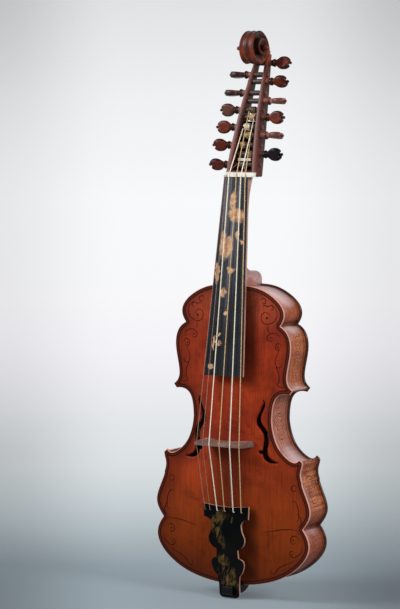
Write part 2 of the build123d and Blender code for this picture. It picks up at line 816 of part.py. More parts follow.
def neck_section(z, back):
    """Cross-section of the neck at height z: flat under the board, round behind, to depth back."""
    flat_y = board_top_y(z) + board_thickness
    centre, half = board_centre_x(z), board_nut_width / 2
    with BuildSketch(Plane.XY.offset(z)) as section:
        with BuildLine():
            Polyline(
                (centre - half, flat_y + neck_flat_side),
                (centre - half, flat_y),
                (centre + half, flat_y),
                (centre + half, flat_y + neck_flat_side),
            )
            Spline(
                (centre + half, flat_y + neck_flat_side),
                (centre, back),
                (centre - half, flat_y + neck_flat_side),
                tangents=[(0, 1), (0, -1)],
            )
        make_face()
    return section.sketch


neck_nut_back = board_top_y(nut_z) + board_thickness + neck_nut_thickness
neck_root_back = board_top_y(heel_top_z) + board_thickness + neck_root_thickness
root_z = body_length - neck_sunk
heel_x = board_centre_x(body_length)
with BuildPart() as neck:
    add(neck_section(root_z, board_top_y(root_z) + board_thickness + neck_root_thickness))
    add(neck_section(nut_z, neck_nut_back))
    loft(ruled=True)
    with BuildSketch(Plane.XZ):
        with Locations((heel_x, heel_top_z - 16.0)):
            RectangleRounded(2 * heel_half_width, 32.0, heel_round)
    extrude(amount=-(board_top_y(heel_top_z) + board_thickness))
    with BuildSketch(Plane.YZ.offset(heel_x - heel_half_width + 5.0)):
        with BuildLine():
            cove_start = (neck_root_back - 3.0, heel_top_z + cove_length)
            cove_end = (neck_root_back + cove_length, heel_top_z - 1.0)
            ThreePointArc(
                cove_start,
                (neck_root_back + 3.0, heel_top_z + 3.6),
                cove_end,
            )
            Polyline(
                cove_end,
                (cove_end[0], heel_top_z - 8.0),
                (neck_root_back - 6.0, heel_top_z - 8.0),
                cove_start,
            )
        make_face()
    extrude(amount=2 * heel_half_width - 10.0)
    add(plate(0.0, back_thickness), mode=Mode.SUBTRACT)
    add(plate(belly_y, belly_thickness), mode=Mode.SUBTRACT)
    add(plate(back_y, rib_height, overhang), mode=Mode.SUBTRACT)
    add(slot.part, mode=Mode.SUBTRACT)
save(neck.part, "neck")


# Head: pegbox and scroll from one block of maple, the pegbox open behind in its upper part
def side_region(front_gap, back_gap, low_z, high_z):
    """Side view of the pegbox between its front and back edges, each drawn in by its gap."""
    stations = [low_z + (high_z - low_z) * step / 5 for step in range(6)]
    with BuildSketch() as region:
        with BuildLine():
            Spline(*[(head_front_y(z) + front_gap, z) for z in stations])
            Line(
                (head_front_y(high_z) + front_gap, high_z),
                (head_back_y(high_z) - back_gap, high_z),
            )
            Spline(*[(head_back_y(z) - back_gap, z) for z in reversed(stations)])
            Line((head_back_y(low_z) - back_gap, low_z), (head_front_y(low_z) + front_gap, low_z))
        make_face()
    return region.sketch


def tapered_slab(inset_share, low_z, high_z):
    """Front view of the pegbox as a tapering slab through its whole depth."""
    half_low = cheek_half_width(low_z) - inset_share * cheek_thickness(low_z)
    half_high = cheek_half_width(high_z) - inset_share * cheek_thickness(high_z)
    with BuildPart() as slab:
        with BuildSketch(Plane.XZ):
            Polygon(
                (-half_low, low_z), (half_low, low_z), (half_high, high_z), (-half_high, high_z),
                align=None,
            )
        extrude(amount=80.0, both=True)
    return slab.part


def peg_shaft(side, z, clearance):
    """Tapered shaft of a peg through both cheeks, or with a clearance the hole that takes it."""
    out = cheek_half_width(z)
    far, near = -out - peg_tail_out, out + peg_neck_length
    y = peg_y(z)
    with BuildPart() as shaft:
        with BuildSketch(Plane((0, y, z), x_dir=(side, 0, 0), z_dir=(0, -1, 0))):
            Polygon(
                (far, 0),
                (far, peg_radius_tail + clearance),
                (near, peg_radius_head + clearance),
                (near, 0),
                align=None,
            )
        revolve(axis=Axis((0, y, z), (side, 0, 0)))
    return shaft.part


with BuildPart() as cavity:
    add(tapered_slab(1.0, cavity_bottom_z, cavity_top_z))
    with BuildSketch(Plane.YZ):
        add(side_region(-20.0, pegbox_floor, cavity_bottom_z - 1.0, cavity_open_z))
    extrude(amount=60.0, both=True, mode=Mode.INTERSECT)
with BuildPart() as through:
    add(tapered_slab(1.0, cavity_open_z, cavity_top_z))
with BuildPart() as head_side:
    with BuildSketch(Plane.YZ):
        add(side_region(0.0, 0.0, nut_z, head_top_z))
    extrude(amount=60.0, both=True)
with BuildPart() as head:
    add(head_side.part)
    add(tapered_slab(0.0, nut_z - 2.0, head_top_z + 2.0), mode=Mode.INTERSECT)
    add(cavity.part, mode=Mode.SUBTRACT)
    add(through.part, mode=Mode.SUBTRACT)
    with BuildSketch(Plane.XY.offset(scroll_z)):
        with BuildLine():
            Polyline(
                (0, scroll_y),
                (0, scroll_y - scroll_radius + 1.2),
                (scroll_half_width - 0.8, scroll_y - scroll_radius),
                (scroll_half_width, scroll_y - scroll_radius + 0.8),
                (scroll_half_width, scroll_y - 16.5),
                (scroll_half_width + 5.5, scroll_y - 14.5),
                (scroll_half_width + 5.5, scroll_y - 10.0),
                (scroll_half_width + 10.5, scroll_y - 8.5),
                (scroll_half_width + 10.5, scroll_y - eye_radius),
                (eye_half_width - 1.0, scroll_y - eye_radius),
                (eye_half_width, scroll_y - eye_radius + 1.5),
                (eye_half_width, scroll_y),
            )
            Line((eye_half_width, scroll_y), (0, scroll_y))
        make_face()
        mirror(about=Plane.YZ)
    revolve(axis=Axis((0, scroll_y, scroll_z), (1, 0, 0)))
    add(slot.part, mode=Mode.SUBTRACT)
    for name, side, z, turn in peg_plan:
        add(peg_shaft(side, z, peg_clearance), mode=Mode.SUBTRACT)
save(head.part, "head")

# Nut: bone, across the head at the board's end
with BuildPart() as nut:
    with BuildSketch(Plane.YZ.offset(-cheek_nut_half_width)):
        Polygon(
            (nut_top_y, nut_z),
            (head_front_y(nut_z + nut_length) + 1.0, nut_z),
            (head_front_y(nut_z + nut_length) + 1.0, nut_z + nut_length),
            (nut_top_y + 0.8, nut_z + nut_length),
            align=None,
        )
    extrude(amount=2 * cheek_nut_half_width)
    add(head_side.part, mode=Mode.SUBTRACT)
    for route, diameter in zip(routes, string_diameters):
        add(tube(route, diameter + 2 * groove_clearance), mode=Mode.SUBTRACT)
save(nut.part, "nut")

# Rest of the sympathetic strings: a bone plate standing on the pegbox floor between two pegs
with BuildPart() as string_rest:
    with BuildSketch(Plane.XY.offset(rest_z - rest_half_length)):
        Polygon(
            (-rest_half_width, wire_rest_y + wire_diameter / 2 + 0.05),
            (rest_half_width, wire_rest_y + wire_diameter / 2 + 0.05),
            (rest_half_width, head_back_y(rest_z - rest_half_length)),
            (-rest_half_width, head_back_y(rest_z - rest_half_length)),
            align=None,
        )
    extrude(amount=2 * rest_half_length)
    with BuildSketch(Plane.YZ):
        add(side_region(-20.0, pegbox_floor, rest_z - 6.65, rest_z + 6.65))
    extrude(amount=60.0, both=True, mode=Mode.INTERSECT)
    add(tube(wire_route, wire_diameter + 2 * groove_clearance), mode=Mode.SUBTRACT)
save(string_rest.part, "string_rest")

# Pegs: flattened heads with a notch and a pip, on tapered shafts
for name, side, z, turn in peg_plan:
    y, out = peg_y(z), cheek_half_width(z)
    start = out + peg_neck_length
    wide = (0, -math.sin(math.radians(turn)), math.cos(math.radians(turn)))
    along = Vector(side, 0, 0)
    face_plane = Plane((0, y, z), x_dir=along, z_dir=along.cross(Vector(*wide)))
    edge_plane = Plane((0, y, z), x_dir=along, z_dir=Vector(*wide))
    half = peg_head_width / 2
    with BuildPart() as peg:
        with BuildSketch(face_plane):
            with BuildLine():
                Spline(
                    (start - 1.0, 2.6),
                    (start + 0.22 * peg_head_length, 0.7 * half),
                    (start + 0.52 * peg_head_length, half),
                    (start + 0.85 * peg_head_length, 0.7 * half),
                    (start + 0.8 * peg_head_length, 0),
                    tangents=[(1, 0.3), (-0.3, -1)],
                )
                Line((start + 0.8 * peg_head_length, 0), (start - 1.0, 0))
                Line((start - 1.0, 0), (start - 1.0, 2.6))
            make_face()
            mirror(about=Plane.XZ)
            with Locations((start + peg_head_length - 1.6, 0)):
                Rectangle(7.0, 2 * peg_pip_radius)
        extrude(amount=peg_head_thickness, both=True)
        with BuildSketch(edge_plane):
            with BuildLine():
                Spline(
                    (start - 1.0, 2.6),
                    (start + 0.3 * peg_head_length, peg_head_thickness / 2),
                    (start + 0.9 * peg_head_length, 2.1),
                    (start + 1.09 * peg_head_length, 1.2),
                )
                Line(
                    (start + 1.09 * peg_head_length, 1.2), (start + 1.09 * peg_head_length, 0)
                )
                Line((start + 1.09 * peg_head_length, 0), (start - 1.0, 0))
                Line((start - 1.0, 0), (start - 1.0, 2.6))
            make_face()
            mirror(about=Plane.XZ)
        extrude(amount=peg_head_width, both=True, mode=Mode.INTERSECT)
        add(peg_shaft(side, z, 0.0))
        with BuildSketch(face_plane):
            with BuildLine():
                Line((start - 2.6, 0), (start - 2.6, 3.4))
                ThreePointArc(
                    (start - 2.6, 3.4), (start - 1.2, peg_collar_radius), (start + 0.2, 3.4)
                )
                Polyline((start + 0.2, 3.4), (start + 0.2, 0), (start - 2.6, 0))
            make_face()
        revolve(axis=Axis((0, y, z), (side, 0, 0)))
    save(peg.part, name)

# Tailpiece: pale core with a dark tortoiseshell veneer, hooked over the bar at the tail
def tailpiece_layer(depth, thickness):
    """One layer of the tailpiece, its face at the given depth under the front."""
    with BuildPart() as layer:
        with BuildSketch(facing(tail_base_y)):
            with BuildLine():
                Line(tail_corner, tail_shelf)
                ThreePointArc(tail_shelf, tail_shelf_bend, tail_neck)
                Spline(tail_neck, tail_bulge, tail_waist_high, tangents=[(0, -1), (-1, -0.2)])
                Line(tail_waist_high, tail_waist_low)
                Spline(
                    tail_waist_low, tail_low_bulge, tail_low_bend, (tail_end_half_width, 0),
                    tangents=[(1, -0.1), (-0.1, -1)],
                )
                Line(
                    (tail_end_half_width, 0),
                    (tail_end_half_width, tailpiece_foot_z + tail_end_round),
                )
                JernArc(
                    (tail_end_half_width, tailpiece_foot_z + tail_end_round), (0, -1),
                    tail_end_round, -90,
                )
                Line((tail_end_half_width - tail_end_round, tailpiece_foot_z), (0, tailpiece_foot_z))
                mirror(about=Plane.YZ)
                ThreePointArc((-tail_corner[0], tail_corner[1]), (0, tail_top_dip), tail_corner)
            make_face()
        extrude(amount=50.0)
        with BuildSketch(Plane.YZ.offset(-40.0)):
            with BuildLine():
                face_points = [(y + depth, z) for y, z in tail_curve]
                back_points = [(y + thickness, z) for y, z in reversed(face_points)]
                face_points[0] = (face_points[0][0], tail_corner[1] + 2.4)
                back_points[-1] = (back_points[-1][0], tail_corner[1] + 2.4)
                Spline(*face_points)
                Line(face_points[-1], back_points[0])
                Spline(*back_points)
                Line(back_points[-1], face_points[0])
            make_face()
        extrude(amount=80.0, mode=Mode.INTERSECT)
        with BuildSketch(facing(tail_base_y)):
            with Locations((0, (hook_top_z + hook_foot_z) / 2)):
                Rectangle(
                    2 * (hook_half_width + hook_clearance),
                    hook_top_z - hook_foot_z + 2 * hook_clearance,
                )
            with Locations(*[(plan[2], string_hole_z) for plan in string_plan]):
                Circle(string_hole_radius)
        extrude(amount=50.0, mode=Mode.SUBTRACT)
    return layer.part


save(tailpiece_layer(0.0, tailpiece_veneer), "tailpiece_veneer")
save(tailpiece_layer(tailpiece_veneer, tailpiece_core), "tailpiece")

# Hook bar: hardwood bar glued to the tail rib, its arm standing through the tailpiece's foot
with BuildPart() as hook_bar:
    with BuildSketch(Plane.YZ.offset(-hook_half_width)):
        with BuildLine():
            Polyline(
                (hook_back_y, 6.0),
                (belly_y + 0.5, 6.0),
                (belly_y + 0.5, hook_top_z),
                (hook_front_y + hook_edge_cut, hook_top_z),
                (hook_front_y, hook_top_z - hook_edge_cut),
                (hook_front_y, hook_foot_z + hook_edge_cut),
                (hook_front_y + hook_edge_cut, hook_foot_z),
                (belly_y + 6.0, hook_foot_z),
            )
            ThreePointArc(
                (belly_y + 6.0, hook_foot_z), (hook_middle_y, hook_foot_z + 2.2), (hook_back_y, 0)
            )
            Line((hook_back_y, 0), (hook_back_y, 6.0))
        make_face()
    extrude(amount=2 * hook_half_width)
    add(plate(0.0, belly_thickness + rib_height + back_thickness, overhang), mode=Mode.SUBTRACT)
    add(plate(belly_y, belly_thickness), mode=Mode.SUBTRACT)
save(hook_bar.part, "hook_bar")

# Strings: gut and wire, whole along their routes from the tailpiece to the pegs
wire_name = "sympathetic_string"
names = ["string_" + str(place + 1) for place in range(len(routes))] + [wire_name]
for name, route, diameter in zip(names, routes + [wire_route], string_diameters + [wire_diameter]):
    string = tube(route, diameter)
    expected = math.pi * diameter**2 / 4 * route.length
    bends = [round(edge.radius, 1) for edge in route.edges() if edge.geom_type == GeomType.CIRCLE]
    print(name, "bend radii", bends, "volume over section times length",
          round(string.volume / expected, 4))
    save(string, name)


# Windings: the strings' ends coiled on their pegs
def winding(x, drift, turns, radius, centre, angle, diameter):
    """A coil round a peg: a helix of quarter turns, each as two tangent arcs, with straight ends."""
    pitch = diameter + winding_space
    quarters = 4 * turns

    def place(step):
        turn = angle - math.pi / 2 * step
        along = Vector(
            drift * pitch / (2 * math.pi), radius * math.sin(turn), -radius * math.cos(turn)
        ).normalized()
        spot = Vector(
            x + drift * pitch * step / 4,
            centre[0] + radius * math.cos(turn),
            centre[1] + radius * math.sin(turn),
        )
        return spot, along

    first, first_along = place(0)
    with BuildLine() as path:
        Line(first - first_along * diameter, first)
        for step in range(quarters):
            (p, t), (q, u) = place(step), place(step + 1)
            chord, spread = q - p, 1 - t.dot(u)
            lean = chord.dot(t + u)
            reach = (math.sqrt(lean**2 + 2 * spread * chord.dot(chord)) - lean) / (2 * spread)
            middle = (p + q + (t - u) * reach) / 2
            TangentArc(p, middle, tangent=t)
            TangentArc(middle, q, tangent=(q - u * reach) - (p + t * reach))
        last, last_along = place(quarters)
        Line(last, last + last_along * diameter)
    spots = [place(step / 6)[0] for step in range(6 * quarters + 1)]
    least = min((a - b).length for i, a in enumerate(spots) for b in spots[i + 14:])
    return tube(path.wire(), diameter), least - diameter


for name, fit in zip(names, winding_plan):
    coil, gap = winding(*fit)
    print(name, "winding radius", round(fit[3], 2), "least gap", round(gap, 2))
    save(coil, name + "_winding")
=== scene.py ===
import math

import bmesh
import bpy
import numpy as np
from mathutils import Matrix, Vector
from mathutils.geometry import delaunay_2d_cdt


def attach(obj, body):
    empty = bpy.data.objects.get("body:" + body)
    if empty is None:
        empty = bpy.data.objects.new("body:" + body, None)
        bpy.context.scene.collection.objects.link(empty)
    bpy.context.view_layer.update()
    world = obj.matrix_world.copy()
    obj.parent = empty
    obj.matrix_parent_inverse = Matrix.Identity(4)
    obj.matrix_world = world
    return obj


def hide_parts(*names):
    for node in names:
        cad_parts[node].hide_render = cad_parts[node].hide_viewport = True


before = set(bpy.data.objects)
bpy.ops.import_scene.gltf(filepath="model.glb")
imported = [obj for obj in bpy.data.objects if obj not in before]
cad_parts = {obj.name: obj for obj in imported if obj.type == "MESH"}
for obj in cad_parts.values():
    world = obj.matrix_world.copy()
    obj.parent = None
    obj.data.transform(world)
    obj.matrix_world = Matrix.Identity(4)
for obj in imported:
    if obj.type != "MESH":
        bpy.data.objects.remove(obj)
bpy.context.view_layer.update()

# Back
# One flat board of maple under a warm brown varnish, with a rounded edge.
# It is glued to the ribs and stands a little proud of them all round.
MM = 0.001


def colour(red, green, blue):
    """A colour as it is seen, 0 to 255 a channel, turned into the linear colour a shader takes."""
    seen = np.array([red, green, blue]) / 255
    linear = np.where(seen <= 0.04045, seen / 12.92, ((seen + 0.055) / 1.055) ** 2.4)
    return tuple(linear.tolist()) + (1.0,)


class Value:
    """One output of a finish. Adding, scaling and comparing values adds Math nodes."""

    def __init__(self, finish, socket):
        self.finish, self.socket = finish, socket

    def math(self, operation, first, second):
        return self.finish.node("ShaderNodeMath", {"operation": operation}, {0: first, 1: second})

    def __add__(self, other):
        return self.math("ADD", self, other)

    def __sub__(self, other):
        return self.math("SUBTRACT", self, other)

    def __mul__(self, other):
        return self.math("MULTIPLY", self, other)

    def __rsub__(self, other):
        return self.math("SUBTRACT", other, self)

    __radd__, __rmul__ = __add__, __mul__

    def size(self):
        """The value without its sign."""
        return self.math("ABSOLUTE", self, 0.0)

    def above(self, low, high):
        """0 below low and 1 above high, with a smooth step between; reversed if low is the larger."""
        return self.finish.node(
            "ShaderNodeMapRange",
            {"interpolation_type": "SMOOTHSTEP"},
            {"Value": self, "From Min": low, "From Max": high},
        )

    def near(self, middle, half_width, blur):
        """1 within half_width of middle and 0 further off, with a soft edge."""
        return (self - middle).size().above(half_width + blur, half_width)


class Finish:
    """A material being mixed: node() adds one node, paint() fills the shader's own sockets."""

    def __init__(self, name):
        self.material = bpy.data.materials.new(name)
        self.material.use_nodes = True
        self.tree = self.material.node_tree
        self.shader = self.tree.nodes["Principled BSDF"]
        self.spot = self.node("ShaderNodeTexCoord", output="Object")

    def node(self, kind, settings={}, sockets={}, output=0):
        new = self.tree.nodes.new(kind)
        for name, setting in settings.items():
            setattr(new, name, setting)
        for name, content in sockets.items():
            self.fill(new.inputs[name], content)
        return Value(self, new.outputs[output])

    def fill(self, socket, content):
        if isinstance(content, Value):
            self.tree.links.new(content.socket, socket)
        else:
            socket.default_value = content

    def paint(self, sockets):
        for name, content in sockets.items():
            self.fill(self.shader.inputs[name], content)
        return self.material

    def mix(self, share, first, second, blend="MIX"):
        """Two colours mixed by a share from 0 to 1."""
        return self.node(
            "ShaderNodeMix",
            {"data_type": "RGBA", "blend_type": blend},
            {0: share, 6: first, 7: second},
            output=2,
        )

    def layers(self, tone, *coats):
        """A first colour under coats, each one a share from 0 to 1 and a colour as it is seen."""
        for share, seen in coats:
            tone = self.mix(share, tone, colour(*seen))
        return tone

    def axis(self, name):
        """One coordinate of the spot on the piece, in metres."""
        return self.node("ShaderNodeSeparateXYZ", {}, {0: self.spot}, output=name)

    def noise(self, scale, detail=3.0, stretch=(1, 1, 1), warp=0.0, rough=0.5):
        """Soft noise from 0 to 1 on the piece, its pattern squeezed by stretch along each axis."""
        spot = self.node("ShaderNodeMapping", {}, {"Vector": self.spot, "Scale": stretch})
        sockets = {
            "Vector": spot, "Scale": scale, "Detail": detail, "Distortion": warp, "Roughness": rough
        }
        return self.node("ShaderNodeTexNoise", {}, sockets)

    def bump(self, height, strength, distance):
        """A normal bent by a height from 0 to 1 that stands for distance millimetres."""
        sockets = {"Height": height, "Strength": strength, "Distance": distance * MM}
        return self.node("ShaderNodeBump", {}, sockets)

    def mark(self, name):
        """A number stored on the mesh's points."""
        return self.node("ShaderNodeAttribute", {"attribute_name": name}, {}, output="Fac")


def settle(piece, body, slot, *nodes):
    """Lets a piece ride on a body and stand for CAD nodes, which it hides; the slot is not used."""
    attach(piece, body)
    if nodes:
        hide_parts(*nodes)
    return piece


def new_piece(name, points, faces, material, outward=True):
    """An object from points in millimetres and lists of point numbers, its faces turned outward."""
    mesh = bpy.data.meshes.new(name)
    mesh.from_pydata(np.asarray(points) * MM, [], faces)
    if outward:
        shell = bmesh.new()
        shell.from_mesh(mesh)
        bmesh.ops.remove_doubles(shell, verts=shell.verts, dist=1e-7)
        bmesh.ops.recalc_face_normals(shell, faces=shell.faces)
        shell.to_mesh(mesh)
        shell.free()
    mesh.shade_smooth()
    mesh.materials.append(material)
    piece = bpy.data.objects.new(name, mesh)
    bpy.context.scene.collection.objects.link(piece)
    return piece


def rim_of(node, depth):
    """The rim of a CAD node's flat face at a depth, in order, as (x, z) in millimetres.
    A rim edge belongs to one triangle of that face only."""
    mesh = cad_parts[node].data
    coords = np.empty(len(mesh.vertices) * 3)
    mesh.vertices.foreach_get("co", coords)
    coords = np.round(coords.reshape(-1, 3) / MM, 3)
    spots, index = np.unique(coords, axis=0, return_inverse=True)
    mesh.calc_loop_triangles()
    corners = np.empty(len(mesh.loop_triangles) * 3, int)
    mesh.loop_triangles.foreach_get("vertices", corners)
    triangles = index.reshape(-1)[corners].reshape(-1, 3)
    flat = triangles[np.all(np.abs(spots[triangles][:, :, 1] - depth) < 0.01, axis=1)]
    edges = np.concatenate([flat[:, [0, 1]], flat[:, [1, 2]], flat[:, [2, 0]]])
    pairs, counts = np.unique(np.sort(edges, axis=1), axis=0, return_counts=True)
    beside = {}
    for a, b in pairs[counts == 1].tolist():
        beside.setdefault(a, []).append(b)
        beside.setdefault(b, []).append(a)
    loops = []
    while beside:
        loop = [next(iter(beside))]
        while True:
            onward = [n for n in beside.pop(loop[-1]) if n in beside]
            if not onward:
                break
            loop.append(onward[0])
        loops.append(spots[loop][:, [0, 2]])
    return max(loops, key=lambda loop: np.ptp(loop[:, 0]) * np.ptp(loop[:, 1]))


def evened(loop, spacing):
    """A closed loop with its long edges divided so that no step is longer than spacing."""
    steps = np.roll(loop, -1, axis=0) - loop
    counts = np.maximum(1, np.ceil(np.linalg.norm(steps, axis=1) / spacing)).astype(int)
    starts = np.repeat(np.arange(len(loop)), counts)
    shares = np.concatenate([np.arange(count) / count for count in counts])
    return loop[starts] + steps[starts] * shares[:, None]


def drawn_in(loop, inset):
    """A closed loop moved in square to itself: each point goes along the mean of its edges' normals."""
    ahead = np.roll(loop, -1, axis=0) - loop
    ahead /= np.linalg.norm(ahead, axis=1)[:, None]
    normals = ahead[:, ::-1] * (1, -1)
    mean = normals + np.roll(normals, 1, axis=0)
    mean /= np.linalg.norm(mean, axis=1)[:, None]
    x, z = loop.T
    turn = np.sign(np.sum(x * np.roll(z, -1) - np.roll(x, -1) * z))
    return loop - mean * inset * turn


def distance_to(loop, points):
    """Distance of each point to the nearest edge of a closed loop."""
    ahead = np.roll(loop, -1, axis=0) - loop
    nearest = np.full(len(points), np.inf)
    for start, step in zip(loop, ahead):
        offset = points - start
        share = np.clip(offset @ step / (step @ step), 0, 1)
        nearest = np.minimum(nearest, np.linalg.norm(offset - share[:, None] * step, axis=1))
    return nearest


def unfolded(loop, inset):
    """A closed loop drawn in, where the points that a sharp corner folds over one another, and
    so nearer to the loop than nine tenths of the inset, are set evenly between their neighbours."""
    moved = drawn_in(loop, inset)
    good = distance_to(loop, moved) >= 0.9 * inset
    numbers = np.arange(len(loop))
    runs = [np.interp(numbers, numbers[good], line[good], period=len(loop)) for line in moved.T]
    return np.stack(runs, axis=1)


def curve_through(points, steps):
    """A smooth curve through points, each span a cubic whose slopes are those between neighbours."""
    points = np.asarray(points, float)
    slopes = np.gradient(points, axis=0)
    t = np.linspace(0, 1, steps, endpoint=False)[:, None]
    spans = [
        (2 * t**3 - 3 * t**2 + 1) * p + (t**3 - 2 * t**2 + t) * m
        + (3 * t**2 - 2 * t**3) * q + (t**3 - t**2) * n
        for p, q, m, n in zip(points, points[1:], slopes, slopes[1:])
    ]
    return np.vstack(spans + [points[-1:]])


# The rim is the back's own, but for the waist's lower end and the lower corners drawn here.
rim = rim_of("back", 0.0)
CORNER_LOW, CORNER_HIGH, CORNER_SIDE = 133.0, 206.0, 50.0
waist_end = curve_through([
    (55.4, 206.0), (55.9, 201.0), (57.0, 194.5), (58.9, 187.5), (61.3, 181.0), (64.2, 175.4),
    (67.7, 170.6), (71.7, 166.4), (76.0, 162.8), (80.4, 160.0), (84.8, 158.0), (89.0, 157.8),
    (91.9, 159.3), (94.2, 161.7),
], 5)
tip_down = curve_through([
    (98.6, 157.6), (97.6, 152.6), (96.1, 147.6), (95.7, 142.6), (96.4, 138.0), (98.0, 133.0),
], 5)
for side in (1, -1):
    redrawn = (rim[:, 1] > CORNER_LOW) & (rim[:, 1] < CORNER_HIGH) & (rim[:, 0] * side > CORNER_SIDE)
    first = np.flatnonzero(~redrawn & np.roll(redrawn, -1))[0] + 1
    rim, redrawn = np.roll(rim, -first, axis=0), np.roll(redrawn, -first)
    run = np.vstack([waist_end, tip_down]) * (side, 1)
    if rim[0, 1] < (CORNER_LOW + CORNER_HIGH) / 2:
        run = run[::-1]
    rim = np.vstack([run, rim[redrawn.sum():]])
RIM_STEP, EDGE_ROUND = 1.6, 1.1
rim = evened(rim, RIM_STEP)


def edge_rings(loop, front, behind):
    """Rings of points round a plate's edge: from the front face over a quarter-round to the back."""
    turns = np.linspace(0, math.pi / 2, 4)
    rings = [(EDGE_ROUND * (1 - math.sin(t)), front + EDGE_ROUND * (1 - math.cos(t))) for t in turns]
    rings += [(inset, behind + front - depth) for inset, depth in reversed(rings)]
    ringed = [np.insert(unfolded(loop, inset), 1, depth, axis=1) for inset, depth in rings]
    return np.array(ringed)


def grid_faces(grid, first=0, round_rows=False, capped=True, round_columns=True):
    """Four-cornered faces between the points of a grid, which are numbered from first on.
    Its columns close into rings, and if it is capped the end rings get one face each."""
    rows, columns = grid.shape[:2]
    index = first + np.arange(rows * columns).reshape(rows, columns)
    ends = [index[0].tolist(), index[-1].tolist()] if capped else []
    if round_columns:
        index = np.hstack([index, index[:, :1]])
    if round_rows:
        index = np.vstack([index, index[:1]])
    faces = np.stack([index[:-1, :-1], index[:-1, 1:], index[1:, 1:], index[1:, :-1]], axis=-1)
    return faces.reshape(-1, 4).tolist() + ends


def skin(name, grid, material, **closing):
    """A piece whose surface runs through a grid of points, with its end faces shaded flat."""
    piece = new_piece(name, grid.reshape(-1, 3), grid_faces(grid, **closing), material)
    sizes = np.empty(len(piece.data.polygons), int)
    piece.data.polygons.foreach_get("loop_total", sizes)
    piece.data.polygons.foreach_set("use_smooth", sizes <= 4)
    return piece


def spots_of(piece):
    """The points of a piece's mesh as rows of x, y and z in millimetres."""
    spots = np.empty(len(piece.data.vertices) * 3)
    piece.data.vertices.foreach_get("co", spots)
    return spots.reshape(-1, 3) / MM


def mark_points(piece, name, rule):
    """Stores on every point of a piece the number that a rule gives for its x, y and z."""
    values = np.asarray(rule(*spots_of(piece).T), float)
    piece.data.attributes.new(name, "FLOAT", "POINT").data.foreach_set("value", values)


varnish = Finish("back_varnish")
figure = varnish.noise(70.0, 4.0, stretch=(0.25, 1.0, 2.2), warp=0.6)
cloud = varnish.noise(9.0, 2.0)
tone = varnish.layers(
    varnish.mix(figure.above(0.38, 0.68), colour(96, 42, 24), colour(150, 74, 38)),
    (cloud.above(0.4, 0.75) * 0.55, (76, 32, 20)),
    (varnish.mark("edge") * 0.85, (40, 20, 16)),
)
back_finish = varnish.paint({
    "Base Color": tone,
    "Roughness": 0.32 + 0.14 * cloud,
    "Coat Weight": 0.35,
    "Coat Roughness": 0.12,
    "Normal": varnish.bump(figure, 0.12, 0.3),
})
BACK_FRONT = -3.4
back = settle(
    skin("back_board", edge_rings(rim, BACK_FRONT, 0.0), back_finish), "body", "back_wood", "back"
)
mark_points(back, "edge", lambda x, y, z: distance_to(rim, np.stack([x, z], axis=1)) < 1.0)

# Belly
# Arched spruce under a red-brown varnish, with a double line of purfling round its edge,
# two serpentine soundholes and scrollwork burnt into the varnish along both sides.
BELLY_FRONT, BELLY_BACK = -47.0, -43.4
station_z = np.array([-20, 10, 38, 88, 138, 177, 212, 258, 300, 338, 358, 390])
station_width = np.array([20, 34, 74, 92, 77, 54, 50, 61, 65, 54, 30, 20])
station_rise = np.array([0, 0.5, 3.2, 8.0, 9.8, 10, 10, 8.6, 5.2, 1.5, 0.4, 0])


def smooth_between(z, stations, values):
    """Values read between stations and smoothed over 24 mm, as whole arrays."""
    fine = np.arange(-20.0, 391.0)
    rough = np.interp(fine, stations, values)
    window = np.hanning(49)
    padded = np.pad(rough, 24, mode="edge")
    return np.interp(z, fine, np.convolve(padded, window / window.sum(), mode="valid"))


def belly_depth(x, z):
    """Depth of the belly's face: a bell curve across, (1 - (x / width)^2)^1.6 times the rise at z."""
    across = np.clip(1 - (x / smooth_between(z, station_z, station_width)) ** 2, 0, 1)
    return BELLY_FRONT - smooth_between(z, station_z, station_rise) * across**1.6


def inside(loop, points):
    """True for the points inside a closed loop: a ray to the side crosses it an odd number of times."""
    within = np.zeros(len(points), bool)
    x, z = points.T
    for (ax, az), (bx, bz) in zip(loop, np.roll(loop, -1, axis=0)):
        if az != bz:
            crossing = (bx - ax) * (z - az) / (bz - az) + ax
            within ^= ((az > z) != (bz > z)) & (x < crossing)
    return within


def from_rim(x, y, z):
    """How far inside the rim each point lies, and 0 for those on it or outside."""
    flat = np.stack([x, z], axis=1)
    return inside(rim, flat) * distance_to(rim, flat)


hole_left = [
    (42.8, 231.6), (45.2, 228.4), (44.1, 223.8), (41.3, 217.2), (38.1, 210.5), (37.1, 205.3),
    (37.8, 200.8), (40.4, 196.8), (43.7, 192.8), (45.8, 188.8), (46.6, 183.3), (46.0, 177.2),
    (45.5, 171.5), (45.7, 165.0), (46.7, 161.0), (49.5, 157.6), (54.3, 155.1), (59.6, 154.4),
    (66.6, 155.2),
]
hole_right = [
    (66.6, 155.4), (60.5, 157.2), (56.2, 159.4), (52.8, 162.8), (51.4, 166.8), (51.2, 171.3),
    (51.8, 176.4), (53.0, 181.6), (52.9, 186.7), (51.4, 191.7), (48.1, 196.1), (44.4, 200.5),
    (42.3, 204.5), (42.1, 209.6), (43.1, 214.2), (45.5, 219.4), (47.1, 224.1), (47.1, 228.2),
    (45.6, 230.9),
]
hole = np.vstack([curve_through(hole_left, 4), curve_through(hole_right, 4)])
NUB_X, NUB_Z, NUB_RADIUS = 43.0, 167.4, 2.2
nub_turn = np.linspace(math.radians(60), math.radians(300), 12)
nub = np.array([NUB_X, NUB_Z]) + NUB_RADIUS * np.stack([np.cos(nub_turn), np.sin(nub_turn)], axis=1)
near_nub = (np.abs(hole[:, 1] - NUB_Z) < 2.1) & (hole[:, 0] < 48.5)
spot = np.argmax(near_nub)
hole = np.vstack([hole[:spot], nub, hole[spot + near_nub.sum():]])
